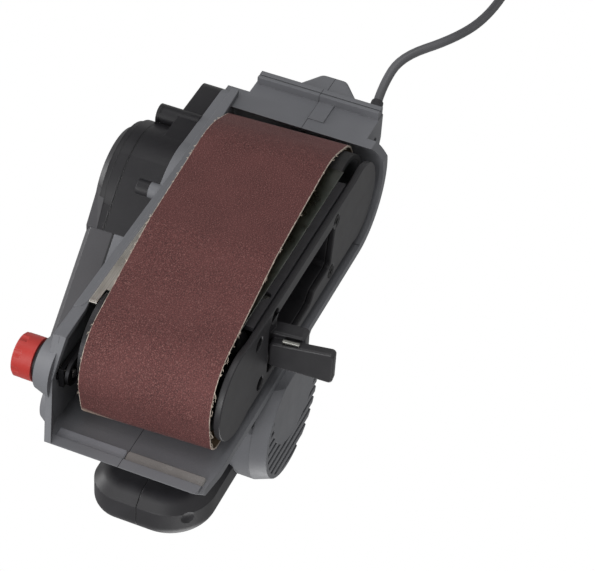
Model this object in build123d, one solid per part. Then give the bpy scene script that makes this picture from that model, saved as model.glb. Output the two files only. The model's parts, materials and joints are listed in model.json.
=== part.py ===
from build123d import *
import math
import os

os.makedirs("parts", exist_ok=True)

# Belt sander in millimetres: +X towards the nose, +Y to the operator's left, +Z up.
# The pieces are drawn with the platen's working plane on Z = 0. The sander is shown with its lever open
# and its belt hanging loose, so at the end all of it is raised until the sagging belt lies on Z = 0.

# Sanding belt, lying loose and a little askew as when it is being changed
belt_width = 75.0
belt_length = 533.0
belt_thickness = 1.0
belt_skew = 2.9
belt_shift = 0.7
belt_sag = 10.0
belt_slack = 7.8
belt_bend = 69.0
belt_corner = 14.4
belt_rise = 1.75
belt_flat_rear = 30.5
belt_flat_front = 72.7

# Rollers
roller_radius = 28.0
roller_overhang = 0.5
sleeve_thickness = 3.0
roller_gap = 0.3
fit_gap = 0.05

# Belt tension and tracking
tension_stroke = 3.6
tracking_throw = 1.2
lever_open_angle = 84.0
loop_middle_x = -0.65

floor_z = -belt_sag
axle_height = belt_thickness + roller_gap + roller_radius
loop_radius = roller_radius + roller_gap
loop_span = (belt_length - belt_slack) / 2 - math.pi * loop_radius
loop_rear_x = loop_middle_x - loop_span / 2
loop_front_x = loop_middle_x + loop_span / 2
skew_reach = belt_width / 2 * math.sin(math.radians(belt_skew))
rear_axle_x = loop_rear_x + skew_reach
front_axle_x = loop_front_x - skew_reach - tracking_throw - tension_stroke
roller_length = belt_width + 2 * roller_overhang
roller_end = roller_length / 2

# Platen
platen_thickness = 1.0
platen_gap = 0.2
platen_end_gap = 0.9
platen_right_y = -roller_end - 1.5
platen_left_y = roller_end + 5.2
platen_tab_y = roller_end + 0.6
platen_tab_reach = 1.5
platen_curl = 1.3
platen_bottom = belt_thickness + platen_gap
platen_top = platen_bottom + platen_thickness
platen_reach = math.sqrt(roller_radius**2 - (axle_height - platen_top) ** 2) + platen_end_gap
platen_rear_x = rear_axle_x + platen_reach
platen_front_x = front_axle_x - platen_reach - tracking_throw

# Left wall of the housing and right side frame, on the two sides of the rollers
wall_thickness = 4.0
pad_thickness = 5.5
panel_thickness = 3.8
panel_chamfer = 1.2
wall_in_y = roller_end + 7.5
wall_out_y = wall_in_y + wall_thickness
pad_y = wall_out_y + pad_thickness
panel_in_y = -roller_end - 6.2
panel_out_y = panel_in_y - panel_thickness
panel_radius = 25.0

# Frame block between them
frame_rear_x = rear_axle_x + roller_radius + 6
frame_front_x = front_axle_x - roller_radius - 10.5
frame_top = axle_height + 23
base_thickness = 3.0
base_reach = platen_reach + 8
frame_screw_head = 3.8
frame_screw_shank = 2.0
frame_screw_length = 10.0
panel_hole_radius = frame_screw_head + 0.55
panel_hole_depth = 2.6

# Tension lever
pivot_x = frame_front_x - 5
pivot_y = panel_in_y + 4.2
pin_radius = 3.0
hub_radius = 7.0
cam_radius = 7.25
cam_offset = tension_stroke
cam_height = 11.0
cam_gap = 1.5
paddle_tip = -43.0
paddle_root = -6.0
paddle_inner_y = -4.6
paddle_thickness = 5.4
paddle_low = 8.25
paddle_high = 11.0
paddle_flare = 1.25
clip_radius = 1.2
clip_length = 9.5
clip_start = 13.5
clip_y = -8.2
knuckle_length = 25.0
knuckle_low = 11.0
knuckle_high = 6.0
knuckle_depth = 5.5
lever_rise = 5.0

# Pocket of the lever, and the screws and holes round it
pocket_rear_x = frame_rear_x + 4
pocket_front_x = pivot_x + cam_offset + cam_radius + 1
pocket_step_x = -20.0
pocket_step_z = 43.0
pocket_low_z = 13.0
pocket_high_z = 49.0
pocket_depth = 31.0
pocket_fillet = 3.0
panel_screws = [(frame_rear_x + 3, -17.0), (frame_rear_x + 6, 19.0)]
panel_holes = [(pivot_x + 4, -18.5), (pivot_x + 25, -15.0), (pivot_x + 21, 18.0)]

# Tension yoke and tracking arm
yoke_x = pivot_x + cam_radius + cam_gap
yoke_bar = 4.0
yoke_half_height = 6.5
right_arm_y = (-roller_end - 5.8, -roller_end - 2.6)
left_arm_y = (roller_end + 3.3, roller_end + 6.3)
track_arm_y = (roller_end + 0.5, roller_end + 2.5)
axle_radius = 6.0
axle_pin_radius = 1.4
stem_y = 20.0
stem_radius = 4.5
stem_length = 28.0
spring_radius = 8.0
spring_wire = 1.6
spring_turns = 5
spring_length = stem_length
eccentric_radius = 2.5
slot_play = 0.15
idler_bearing_radius = 16.0
idler_bearing_width = 9.0

# Tracking knob
knob_x = front_axle_x + 29.5
knob_radius = 12.5
knob_lobes = 8
knob_height = 12.0
knob_shaft_radius = 4.0
knob_boss_radius = 16.0
knob_boss_y = wall_out_y + 6.5
knob_inner_y = knob_boss_y + 3
bulge_x = knob_x + 2
bulge_rise = 22.7
bulge_radius = 17.0
bulge_height = 3.0
knob_outer_y = knob_inner_y + knob_height
knob_cap = 2.0

# Drive train: toothed belt from the motor, then a gear pair to the drive roller
motor_x = 22.0
motor_z = 102.0
gear_module = 1.25
gear_teeth = 30
pinion_teeth = 13
gear_backlash = 0.3
layshaft_angle = 27.0
motor_pulley_teeth = 14
large_pulley_teeth = 44
tooth_pitch = 4.2
flange_height = 2.2
flange_thickness = 0.8
drive_belt_gap = 0.3
drive_belt_thickness = 1.7
shaft_radius = 5.0
layshaft_radius = 4.0
bearing_radius = 9.5
bearing_wall = 4.0
bearing_width = 7.0
gear_y = (pad_y + 2, pad_y + 10)
web_y = (gear_y[1] + 0.5, gear_y[1] + 2.5)
pulley_y = (web_y[1] + 0.7, web_y[1] + 10.7)

gear_distance = gear_module * (gear_teeth + pinion_teeth) / 2
layshaft_x = rear_axle_x + gear_distance * math.cos(math.radians(layshaft_angle))
layshaft_z = axle_height + gear_distance * math.sin(math.radians(layshaft_angle))
motor_pulley_radius = motor_pulley_teeth * tooth_pitch / (2 * math.pi)
large_pulley_radius = large_pulley_teeth * tooth_pitch / (2 * math.pi)

# Drive case and its covers
drum_radius = 39.0
drum_low = 2.5
drum_shift = 4.0
drum_x = layshaft_x + drum_shift
drum_z = drum_low + drum_radius
drum_seam_y = pulley_y[1] + 0.4
drum_lip = 1.0
drum_outer_y = drum_seam_y + 14.9
tail_radius = 28.0
tail_pad_y = pad_y + 16.5
tail_floor_y = pad_y + 3
tail_outer_y = drum_outer_y - 4
tail_chamfer = 3.0
tail_split_x = -7.0
cover_wall = 2.4
ring_step = 1.7
ring_slope = 3.0
ring_y = (drum_seam_y + drum_lip, drum_seam_y + 6.9, drum_seam_y + 10.4, drum_outer_y)
layshaft_end_y = drum_seam_y + 4.9
outer_bearing_y = (drum_seam_y + 0.2, layshaft_end_y + 0.4)
plate_rear_x = -125.0
plate_front_x = -48.0
plate_low_z = 3.0
plate_high_z = 70.0
plate_fillet = 9.0
cover_boss_angles = (-131.8, 121.6)
cover_boss_reach = drum_radius + 5.2
cover_boss_radius = 6.5
cover_boss_height = 2.4
cover_screw_head = 3.4
cover_screw_shank = 1.8
cover_screw_length = 12.0
cover_head_length = 1.4
lower_boss_x = -31.0
lower_boss_z = 17.0
lower_boss_radius = 5.5
boss_split_y = pad_y + 5

# Housing: belt channel wrapped round the rear roller, and the hood
hood_right_y = panel_out_y - 2
wrap_x = rear_axle_x - 2.4
wrap_gap = 2.4
wrap_thickness = 6.2
wrap_inner_radius = loop_radius + belt_thickness + wrap_gap
wrap_outer_radius = wrap_inner_radius + wrap_thickness
ceiling_gap = 1.45
ceiling_z = axle_height + loop_radius + belt_rise + belt_thickness + ceiling_gap
roof_z = axle_height + wrap_outer_radius
sill_z = 3.5
nose_x = 136.0
nose_z = 60.0
nose_sill_x = 112.0
nose_lip = 7.0
nose_slope = 8.0
nose_left_y = wall_in_y - 2
nose_turn_x = 121.0

# Rear foot with its cross bar
foot_bottom = 6.5
foot_rear_x = -144.0
foot_front_x = wrap_x - 11.2
foot_left_y = wall_in_y - 4.5
foot_right_y = hood_right_y + 11.5
foot_heel_z = 24.0
foot_shoulder_z = 40.0
foot_top_z = 54.0
bar_width = 7.0
bar_bottom = 1.5
bar_groove = 1.0
foot_band = 10.0
foot_band_height = 0.8
bar_left_y = foot_left_y - 1
bar_right_y = foot_right_y + 0.5
rear_slope_z = 20.0

# Motor tunnel, its neck and its end cap
motor_radius = 41.0
motor_wall = 3.5
motor_cavity_radius = motor_radius - motor_wall
motor_right_y = hood_right_y + 4
neck_rear_x = -44.0
neck_front_x = 80.0
neck_half = 36.0
neck_drop = 14.0
cap_depth = 9.5
cap_outer_y = motor_right_y - cap_depth
cap_face_radius = 37.5
cap_disc_radius = 32.0
cap_disc_shift = (-4.0, -17.0)
slot_pitch = 6.8
slot_width = 3.2
slot_depth = 5.0
slot_pairs = 5
slot_margin = 2.5

# Motor inside
armature_radius = 20.0
armature_slots = 12
armature_slot_radius = 2.0
air_gap = 0.8
commutator_radius = 12.0
brush_gap = 0.3
fan_radius = 34.0
fan_hub_radius = 9.0
fan_blades = 9
armature_y = (motor_right_y + 28, wall_out_y - 25.5)
commutator_y = (motor_right_y + 8, motor_right_y + 22)
brush_y = (motor_right_y + 12, motor_right_y + 18)
fan_y = (wall_out_y - 20.5, wall_out_y - 10.5)

# D-handle with trigger, switch and lock button
handle_width = 30.0
handle_height = 34.0
handle_fillet = 11.0
handle_bend = 30.0
handle_top_z = 131.0
handle_crest_x = -58.0
handle_turn_x = -126.0
handle_fall = 7.0
handle_shoulder = 36.0
pillar_x = -152.0
pillar_half = 20.0
pillar_foot_z = 40.0
pillar_height = 54.0
grip_thickness = 2.0
grip_front_x = -64.0
grip_rear_x = -110.0
trigger_x = -44.0
trigger_half = 13.0
trigger_travel = 5.0
trigger_half_width = 6.5
trigger_show = 10.0
trigger_gap = 0.4
switch_half = 18.0
switch_half_width = 10.0
switch_height = 14.6
switch_gap = 0.2
button_x = -44.0
button_z = handle_top_z + 11
button_radius = 4.5
button_travel = 3.0
button_gap = 0.3

# Dust outlet
outlet_y = wall_in_y - 7.5
outlet_z = 43.0
outlet_radius = 16.5
outlet_bore = 14.0
outlet_rear_x = -158.0
outlet_bead = 1.2

# Screws that hold the halves together: X, depth of the head's face in Y, Z
housing_screw_head = 3.6
housing_screw_shank = 2.0
housing_screw_length = 14.0
screw_head_length = 2.5
housing_screw_spots = [
    (foot_rear_x + 12, foot_right_y + 2, 20.0),
    (motor_x - 36, hood_right_y + 6, motor_z - 24),
    (motor_x + 36, hood_right_y + 6, motor_z - 24),
    (pillar_x + 2, 2 - handle_width / 2, handle_top_z - 35),
    (motor_x - 16, motor_right_y + 12, motor_z + 33),
]

# Front handle
front_grip_x = 112.0
front_grip_left_y = 33.0
front_grip_right_y = -36.0
front_grip_low = 109.0
front_grip_high = 136.0
front_grip_root = 24.0
front_grip_corner = 28.0
front_grip_left_corner = 19.0
front_grip_round = 9.0
front_grip_bevel = 7.0
front_grip_soft = 9.0
front_grip_seam = 0.3
dimple_radius = 8.0
dimple_depth = 1.4
dimple_rise = 10.0

# Mains cord from the foot down to the floor, and its put-away length
cord_diameter = 5.6
gland_length = 20.0
gland_radius = 5.2
gland_flange = 3.0
gland_tip = 0.9
cord_exit = (-157.0, -30.0, 10.0)
cord_floor = [
    (-170.4, -28.1, 6.8),
    (-189.0, -31.8, floor_z + 6.8),
    (-213.8, -55.0, floor_z + 2.9),
    (-243.0, -66.5, floor_z + 2.9),
    (-287.8, -68.3, floor_z + 3.9),
]
coil_centre = (-334.8, -31.1)
coil_radius = 31.0
coil_pitch = 6.2
coil_layer = 6.15
coil_low_z = floor_z + 3.9
coil_quarters = [8, 7, 7, 8]
coil_sides = 8
tail_run = 56.0
plug_height = 15.0
plug_length = 40.0
plug_width = 35.0
plug_neck = 10.0
plug_pin_radius = 2.0
plug_pin_length = 19.0
pin_spacing = 18.0
tie_width = 8.0
tie_thickness = 1.0
tie_play = 0.3


def rod(x, z, radius, y0, y1):
    return Pos(x, (y0 + y1) / 2, z) * Rot(90, 0, 0) * Cylinder(radius, y1 - y0)


def tube(x, z, outer, inner, y0, y1):
    return rod(x, z, outer, y0, y1) - rod(x, z, inner, y0 - 1, y1 + 1)


def block(x0, x1, y0, y1, z0, z1):
    return Pos((x0 + x1) / 2, (y0 + y1) / 2, (z0 + z1) / 2) * Box(x1 - x0, y1 - y0, z1 - z0)


def slab(sketch, y0, y1):
    return extrude(Plane.XZ.offset(-y1) * sketch, amount=y1 - y0)


def disc(x, z, radius):
    return Pos(x, z) * Circle(radius)


def outline(*points):
    return make_face(Polyline(*points, close=True))


def hull_of(*discs):
    return make_hull([edge for each in discs for edge in each.edges()])


def group(shapes):
    return Compound(children=[each.solid() for each in shapes])


def screw(head_radius, head_length, shank_radius, shank_length):
    """A pan-head screw along +Y with its head's outer face on Y = 0 and a cross recess."""
    head = rod(0, 0, head_radius, 0, head_length)
    recess = block(-head_radius * 0.6, head_radius * 0.6, -1, head_length * 0.5, -0.4, 0.4)
    cross = recess + Rot(0, 90, 0) * recess
    return head - cross + rod(0, 0, shank_radius, head_length, head_length + shank_length)


def gear_outline(teeth, first_tooth_angle):
    """Involute spur gear with stub teeth; the first tooth points along the given angle."""
    pitch_radius = gear_module * teeth / 2
    base_radius = pitch_radius * math.cos(math.radians(20))
    tip_radius = pitch_radius + 0.8 * gear_module
    root_radius = pitch_radius - 1.15 * gear_module
    half_angle = math.pi / (2 * teeth) - gear_backlash / (4 * pitch_radius)
    involute_start = math.tan(math.radians(20)) - math.radians(20)
    low_radius = max(base_radius, root_radius)
    flank = [(root_radius, half_angle + involute_start)]
    for step in range(4):
        radius = low_radius + (tip_radius - low_radius) * step / 3
        pressure = math.acos(min(1.0, base_radius / radius))
        flank.append((radius, half_angle + involute_start - (math.tan(pressure) - pressure)))
    points = []
    for tooth in range(teeth):
        centre = math.radians(first_tooth_angle) + 2 * math.pi * tooth / teeth
        for radius, offset in flank:
            points.append((radius * math.cos(centre - offset), radius * math.sin(centre - offset)))
        for radius, offset in reversed(flank):
            points.append((radius * math.cos(centre + offset), radius * math.sin(centre + offset)))
    return outline(*points)


def loop_edges(circles):
    """Arcs and lines of the tight loop round (x, z, radius) circles taken anticlockwise, and its length."""
    normals = []
    for here, after in zip(circles, circles[1:] + circles[:1]):
        across = after[0] - here[0]
        along = after[1] - here[1]
        lean = math.acos((here[2] - after[2]) / math.hypot(across, along))
        normals.append(math.atan2(along, across) - lean)
    arcs = []
    length = 0.0
    for index, (x, z, radius) in enumerate(circles):
        start = normals[index - 1]
        sweep_angle = (normals[index] - start) % (2 * math.pi)
        turns = [start + share * sweep_angle for share in (0, 0.5, 1)]
        arcs.append([(x + radius * math.cos(turn), z + radius * math.sin(turn)) for turn in turns])
        length += radius * sweep_angle
    edges = []
    for arc, after in zip(arcs, arcs[1:] + arcs[:1]):
        edges.append(ThreePointArc(*arc))
        edges.append(Line(arc[2], after[0]))
        length += math.dist(arc[2], after[0])
    return edges, length


def biarc(start, start_way, end, end_way):
    """Two arcs that join two points with the given directions and share a tangent between them."""
    chord = end - start
    total = start_way + end_way
    spread = 2 * (1 - start_way.dot(end_way))
    along = chord.dot(total)
    if spread < 1e-9:
        reach = chord.dot(chord) / (4 * chord.dot(end_way))
    else:
        reach = (math.sqrt(along**2 + spread * chord.dot(chord)) - along) / spread
    first = start + start_way * reach
    second = end - end_way * reach
    middle = (first + second) * 0.5
    return [
        TangentArc(start, middle, tangent=start_way),
        TangentArc(middle, end, tangent=(second - first).normalized()),
    ]


def biarc_run(stations):
    edges = []
    for (start, start_way), (end, end_way) in zip(stations, stations[1:]):
        edges += biarc(start, start_way, end, end_way)
    return edges


def route_radii(points):
    """Bend radius at each inner point, from the shorter run beside it and the turn."""
    radii = []
    for before, here, after in zip(points, points[1:], points[2:]):
        run_in = Vector(*here) - Vector(*before)
        run_out = Vector(*after) - Vector(*here)
        turn = math.radians(run_in.get_angle(run_out))
        radii.append(0.45 * min(run_in.length, run_out.length) / math.tan(turn / 2))
    return radii


def raised(shape):
    """The shape's solids, lifted so that the sagging belt lies on Z = 0."""
    solids = [Pos(0, 0, belt_sag) * each for each in shape.solids()]
    return solids[0] if len(solids) == 1 else Compound(children=solids)


along_x = Rot(0, 90, 0)
nodes = {}


# Sanding belt: a loose loop round both rollers that sags under the platen.
# The front corner of its upper run takes up what is left of its length.
def loose_loop(corner_x, growth):
    low_z = floor_z + belt_thickness + belt_bend
    corner_z = axle_height + loop_radius + belt_rise - belt_corner
    circles = [
        (loop_rear_x + belt_flat_rear, low_z, belt_bend + growth),
        (loop_front_x - belt_flat_front, low_z, belt_bend + growth),
        (loop_front_x, axle_height, loop_radius + growth),
        (corner_x, corner_z, belt_corner + growth),
        (loop_rear_x, axle_height, loop_radius + growth),
    ]
    return loop_edges(circles)


corner_low = loop_front_x + 1
corner_high = loop_front_x + loop_radius
for halving in range(40):
    corner_x = (corner_low + corner_high) / 2
    if loose_loop(corner_x, 0)[1] < belt_length:
        corner_low = corner_x
    else:
        corner_high = corner_x
loop_outer = make_face(loose_loop(corner_x, belt_thickness)[0])
loop_inner = make_face(loose_loop(corner_x, 0)[0])
loop = slab(loop_outer - loop_inner, -belt_width / 2, belt_width / 2)
print("belt length", round(loose_loop(corner_x, 0)[1], 2))
nodes["sanding_belt"] = Pos(0, belt_shift, 0) * Rot(0, 0, -belt_skew) * loop

# Platen: steel sheet under the frame block, with a tab beside the front roller that ends in a curl
platen = block(platen_rear_x, platen_front_x, platen_right_y, platen_left_y, platen_bottom, platen_top)
tab_x = front_axle_x + platen_tab_reach
platen += block(platen_front_x - 1, tab_x, platen_tab_y, platen_left_y, platen_bottom, platen_top)
nodes["platen"] = platen + rod(tab_x, platen_bottom + platen_curl, platen_curl, platen_tab_y, platen_left_y)

# Frame block: base plate over the platen, box above it with the lever pocket and the spring chamber
frame = block(
    rear_axle_x + base_reach,
    front_axle_x - base_reach - tracking_throw,
    panel_in_y,
    wall_in_y,
    platen_top,
    platen_top + base_thickness,
)
frame += block(frame_rear_x, frame_front_x, panel_in_y, wall_in_y, platen_top, frame_top)
pocket_side = outline(
    (pocket_rear_x, pocket_low_z),
    (pocket_front_x, pocket_low_z),
    (pocket_front_x, pocket_high_z),
    (pocket_step_x + pocket_high_z - pocket_step_z, pocket_high_z),
    (pocket_step_x, pocket_step_z),
    (pocket_rear_x + 4, pocket_step_z),
)
pocket_side = fillet(pocket_side.vertices(), pocket_fillet)
frame -= slab(pocket_side, panel_in_y - 1, panel_in_y + pocket_depth)
spring_room = spring_radius + 1
frame -= block(
    pivot_x - stem_length - 8,
    frame_front_x + 9,
    stem_y - spring_room,
    stem_y + spring_room,
    axle_height - spring_room,
    axle_height + spring_room,
)
frame -= Pos(pivot_x, pivot_y, axle_height) * Cylinder(pin_radius, 2 * axle_height)

# Side frame: rounded panel with screw holes, lever window and the bearing boss of the drive roller
panel_front_x = front_axle_x + tension_stroke / 2
panel = Pos((rear_axle_x + panel_front_x) / 2, axle_height) * SlotCenterToCenter(
    panel_front_x - rear_axle_x, 2 * panel_radius
)
side_frame = slab(panel - pocket_side, panel_out_y, panel_in_y)
side_frame = chamfer(side_frame.faces().sort_by(Axis.Y)[0].outer_wire().edges(), panel_chamfer)
boss_inner_y = -roller_end - 0.8
seat_y = panel_in_y - 1.2
seat_radius = bearing_radius + bearing_wall
side_frame += rod(rear_axle_x, axle_height, seat_radius, panel_in_y, boss_inner_y)
side_frame -= rod(rear_axle_x, axle_height, bearing_radius, seat_y, boss_inner_y)
frame_screw = screw(frame_screw_head, screw_head_length, frame_screw_shank, frame_screw_length)
frame_screws = []
for hole_x, hole_rise in panel_screws + panel_holes:
    hole_z = axle_height + hole_rise
    side_frame -= rod(hole_x, hole_z, panel_hole_radius, panel_out_y - 1, panel_out_y + panel_hole_depth)
    side_frame -= rod(hole_x, hole_z, frame_screw_shank, panel_out_y, panel_in_y + 1)
for hole_x, hole_rise in panel_screws:
    hole_z = axle_height + hole_rise
    frame -= rod(hole_x, hole_z, frame_screw_shank, panel_in_y - 1, panel_in_y + frame_screw_length - 1)
    head_y = panel_out_y + panel_hole_depth - screw_head_length
    frame_screws.append(Pos(hole_x, head_y, hole_z) * frame_screw)
nodes["side_frame"] = side_frame
nodes["frame_block"] = frame
nodes["frame_screws"] = group(frame_screws)

# Tension lever, drawn closed along the side frame and swung open about its upright pin
lever_z = axle_height + lever_rise
hub_low = pocket_low_z + 1
hub_high = pocket_high_z - 1
hub = Pos(0, 0, (hub_low + hub_high) / 2) * Cylinder(hub_radius, hub_high - hub_low)
cam_disc = Pos(cam_offset, 0, axle_height) * Cylinder(cam_radius, cam_height)
paddle_side = outline(
    (paddle_root, lever_z - paddle_low + paddle_flare),
    (paddle_tip, lever_z - paddle_low - paddle_flare),
    (paddle_tip, lever_z + paddle_high + paddle_flare),
    (paddle_root, lever_z + paddle_high - paddle_flare),
)
paddle = slab(fillet(paddle_side.vertices(), 2.5), paddle_inner_y - paddle_thickness, paddle_inner_y)
paddle = fillet(paddle.faces().sort_by(Axis.Y)[0].outer_wire().edges(), 1.4)
knuckle_side = outline(
    (-knuckle_length, lever_z - knuckle_low),
    (-2, lever_z - knuckle_low),
    (-2, lever_z + knuckle_high),
    (-knuckle_length, lever_z + knuckle_high),
)
knuckle = slab(fillet(knuckle_side.vertices(), 2.5), paddle_inner_y, knuckle_depth)
knuckle = chamfer(knuckle.faces().sort_by(Axis.X)[0].edges(), 1.0)
lever = hub + cam_disc + paddle + knuckle
clip_z = lever_z - paddle_low - clip_radius
clip_middle = -clip_start - clip_length / 2
clip = Pos(clip_middle, clip_y, clip_z) * along_x * Cylinder(clip_radius, clip_length)
lever -= clip
lever -= Pos(0, 0, axle_height) * Cylinder(pin_radius + fit_gap, 2 * axle_height)
lever_place = Pos(pivot_x, pivot_y, 0) * Rot(0, 0, lever_open_angle)
nodes["tension_lever"] = lever_place * lever
nodes["lever_clip"] = lever_place * clip
pin_low = platen_top + base_thickness
pin_middle = (pin_low + frame_top) / 2
nodes["lever_pin"] = Pos(pivot_x, pivot_y, pin_middle) * Cylinder(pin_radius, frame_top - pin_low)

# Tension yoke: cross bar behind the idler roller, two arms beside it and a guide stem with its spring
yoke_low = axle_height - yoke_half_height
yoke_high = axle_height + yoke_half_height
stem_x = pivot_x - stem_length
yoke = block(yoke_x, yoke_x + yoke_bar, right_arm_y[0], left_arm_y[1], yoke_low, yoke_high)
yoke += block(yoke_x, front_axle_x + axle_radius + 3, right_arm_y[0], right_arm_y[1], yoke_low, yoke_high)
yoke += block(yoke_x, knob_x + knob_shaft_radius + 3.5, left_arm_y[0], left_arm_y[1], yoke_low, yoke_high)
stem_middle = (yoke_x + stem_x) / 2
yoke += Pos(stem_middle, stem_y, axle_height) * along_x * Cylinder(stem_radius, yoke_x - stem_x)
yoke -= rod(front_axle_x, axle_height, axle_radius + fit_gap, right_arm_y[0] - 1, right_arm_y[1] + 1)
yoke -= rod(knob_x, axle_height, knob_shaft_radius + fit_gap, left_arm_y[0] - 1, left_arm_y[1] + 1)
tilt_y = (right_arm_y[0] + right_arm_y[1]) / 2
tilt_pin = Pos(front_axle_x, tilt_y, axle_height) * Cylinder(axle_pin_radius, 2 * yoke_half_height)
nodes["tension_yoke"] = yoke + tilt_pin

# Tracking arm and idler axle, tilting together about the upright pin in the right arm of the yoke
arm_sheet = hull_of(disc(front_axle_x, axle_height, axle_radius + 4), disc(knob_x, axle_height, 8))
arm_slot = Pos(knob_x, axle_height + tracking_throw / 2) * SlotOverall(
    12, 2 * (eccentric_radius + slot_play), rotation=90
)
axle_hole = disc(front_axle_x, axle_height, axle_radius)
nodes["tracking_arm"] = slab(arm_sheet - arm_slot - axle_hole, track_arm_y[0], track_arm_y[1])
idler_axle = rod(front_axle_x, axle_height, axle_radius, right_arm_y[0] + 0.2, track_arm_y[1])
tilt_hole = Pos(front_axle_x, tilt_y, axle_height) * Cylinder(axle_pin_radius + fit_gap, 2 * yoke_half_height)
nodes["idler_axle"] = idler_axle - tilt_hole

# Idler roller on two ball bearings
nodes["idler_roller"] = tube(
    front_axle_x, axle_height, roller_radius, idler_bearing_radius, -roller_end, roller_end
)
bearing_reach = roller_end - idler_bearing_width - 1.5
idler_bearings = []
for inner_y in (-bearing_reach - idler_bearing_width, bearing_reach):
    outer_y = inner_y + idler_bearing_width
    idler_bearings.append(
        tube(front_axle_x, axle_height, idler_bearing_radius, axle_radius + fit_gap, inner_y, outer_y)
    )
nodes["idler_bearings"] = group(idler_bearings)

# Drive roller: hub with a rubber sleeve, shaft, gear and bearings
hub_outer = roller_radius - sleeve_thickness
nodes["drive_hub"] = tube(rear_axle_x, axle_height, hub_outer, shaft_radius, -roller_end, roller_end)
nodes["roller_sleeve"] = tube(rear_axle_x, axle_height, roller_radius, hub_outer, -roller_end, roller_end)
nodes["drive_shaft"] = rod(rear_axle_x, axle_height, shaft_radius, panel_in_y - 0.8, gear_y[1])
gear = Pos(rear_axle_x, axle_height) * gear_outline(gear_teeth, layshaft_angle)
nodes["drive_gear"] = slab(gear - disc(rear_axle_x, axle_height, shaft_radius), gear_y[0], gear_y[1])
shaft_seat = shaft_radius + fit_gap
drive_bearings = [
    tube(rear_axle_x, axle_height, bearing_radius, shaft_seat, seat_y, boss_inner_y),
    tube(rear_axle_x, axle_height, bearing_radius, shaft_seat, wall_in_y + 2 - bearing_width, wall_in_y + 2),
]
nodes["drive_bearings"] = group(drive_bearings)

# Layshaft with its pinion and the large pulley
pinion = gear_outline(pinion_teeth, layshaft_angle + 180 + 180 / pinion_teeth)
layshaft = rod(layshaft_x, layshaft_z, layshaft_radius, wall_out_y - 1, layshaft_end_y)
layshaft += slab(Pos(layshaft_x, layshaft_z) * pinion, gear_y[0], gear_y[1])
nodes["layshaft"] = layshaft


def pulley(x, z, radius, bore):
    wheel = rod(x, z, radius, pulley_y[0], pulley_y[1])
    wheel += rod(x, z, radius + flange_height, pulley_y[0], pulley_y[0] + flange_thickness)
    wheel += rod(x, z, radius + flange_height, pulley_y[1] - flange_thickness, pulley_y[1])
    return wheel - rod(x, z, bore, pulley_y[0] - 1, pulley_y[1] + 1)


large_pulley = pulley(layshaft_x, layshaft_z, large_pulley_radius, layshaft_radius)
spoke_radius = 0.61 * large_pulley_radius
spokes = 5
for spoke in range(spokes):
    turn = 2 * math.pi * spoke / spokes
    hole_x = layshaft_x + spoke_radius * math.cos(turn)
    hole_z = layshaft_z + spoke_radius * math.sin(turn)
    large_pulley -= rod(hole_x, hole_z, 0.22 * large_pulley_radius, pulley_y[0] - 1, pulley_y[1] + 1)
nodes["large_pulley"] = large_pulley
layshaft_seat = layshaft_radius + fit_gap
layshaft_bearings = [
    tube(layshaft_x, layshaft_z, bearing_radius, layshaft_seat, wall_out_y - 1, pad_y),
    tube(layshaft_x, layshaft_z, bearing_radius, layshaft_seat, *outer_bearing_y),
]
nodes["layshaft_bearings"] = group(layshaft_bearings)

# Toothed belt round both pulleys
belt_faces = [
    hull_of(
        disc(layshaft_x, layshaft_z, large_pulley_radius + rise),
        disc(motor_x, motor_z, motor_pulley_radius + rise),
    )
    for rise in (drive_belt_gap, drive_belt_gap + drive_belt_thickness)
]
flange_room = flange_thickness + 0.5
belt_ring = belt_faces[1] - belt_faces[0]
nodes["toothed_belt"] = slab(belt_ring, pulley_y[0] + flange_room, pulley_y[1] - flange_room)

# Motor: shaft with pulley, armature, commutator and fan; stator, brushes and bearings stand still
nodes["motor_pulley"] = pulley(motor_x, motor_z, motor_pulley_radius, shaft_radius)
nodes["motor_shaft"] = rod(motor_x, motor_z, shaft_radius, motor_right_y - 2, pulley_y[1] + 2)
armature = tube(motor_x, motor_z, armature_radius, shaft_radius, armature_y[0], armature_y[1])
slot_ring = armature_radius - 0.9 * armature_slot_radius
for slot_index in range(armature_slots):
    turn = 2 * math.pi * slot_index / armature_slots
    slot_x = motor_x + slot_ring * math.cos(turn)
    slot_z = motor_z + slot_ring * math.sin(turn)
    armature -= rod(slot_x, slot_z, armature_slot_radius, armature_y[0] - 1, armature_y[1] + 1)
nodes["armature"] = armature
nodes["commutator"] = tube(motor_x, motor_z, commutator_radius, shaft_radius, *commutator_y)
fan = tube(motor_x, motor_z, fan_hub_radius, shaft_radius, fan_y[0], fan_y[1])
fan += tube(motor_x, motor_z, fan_radius, shaft_radius, fan_y[0], fan_y[0] + 1.5)
blade = block(fan_hub_radius - 1, fan_radius - 1, fan_y[0] + 1, fan_y[1] - 0.5, -0.8, 0.8)
for blade_index in range(fan_blades):
    fan += Pos(motor_x, 0, motor_z) * Rot(0, 360 / fan_blades * blade_index, 0) * blade
nodes["fan"] = fan
stator_radius = motor_cavity_radius - 0.2
stator_bore = armature_radius + air_gap
stator_y = (armature_y[0] + 1, armature_y[1] - 1)
stator = tube(motor_x, motor_z, stator_radius, stator_bore, stator_y[0], stator_y[1])
pole_half = 0.65 * armature_radius
pole_depth = 0.65 * (stator_radius - stator_bore)
winding_room = block(-pole_half, pole_half, stator_y[0] - 1, stator_y[1] + 1, 0, stator_bore + pole_depth)
for half_turn in (0, 180):
    stator -= Pos(motor_x, 0, motor_z) * Rot(0, half_turn, 0) * winding_room
nodes["stator"] = stator
brush_inner = commutator_radius + brush_gap
brush = block(brush_inner, motor_cavity_radius - 1.5, brush_y[0], brush_y[1], -4, 4)
nodes["brushes"] = group([Pos(motor_x, 0, motor_z) * Rot(0, half_turn, 0) * brush for half_turn in (0, 180)])
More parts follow.
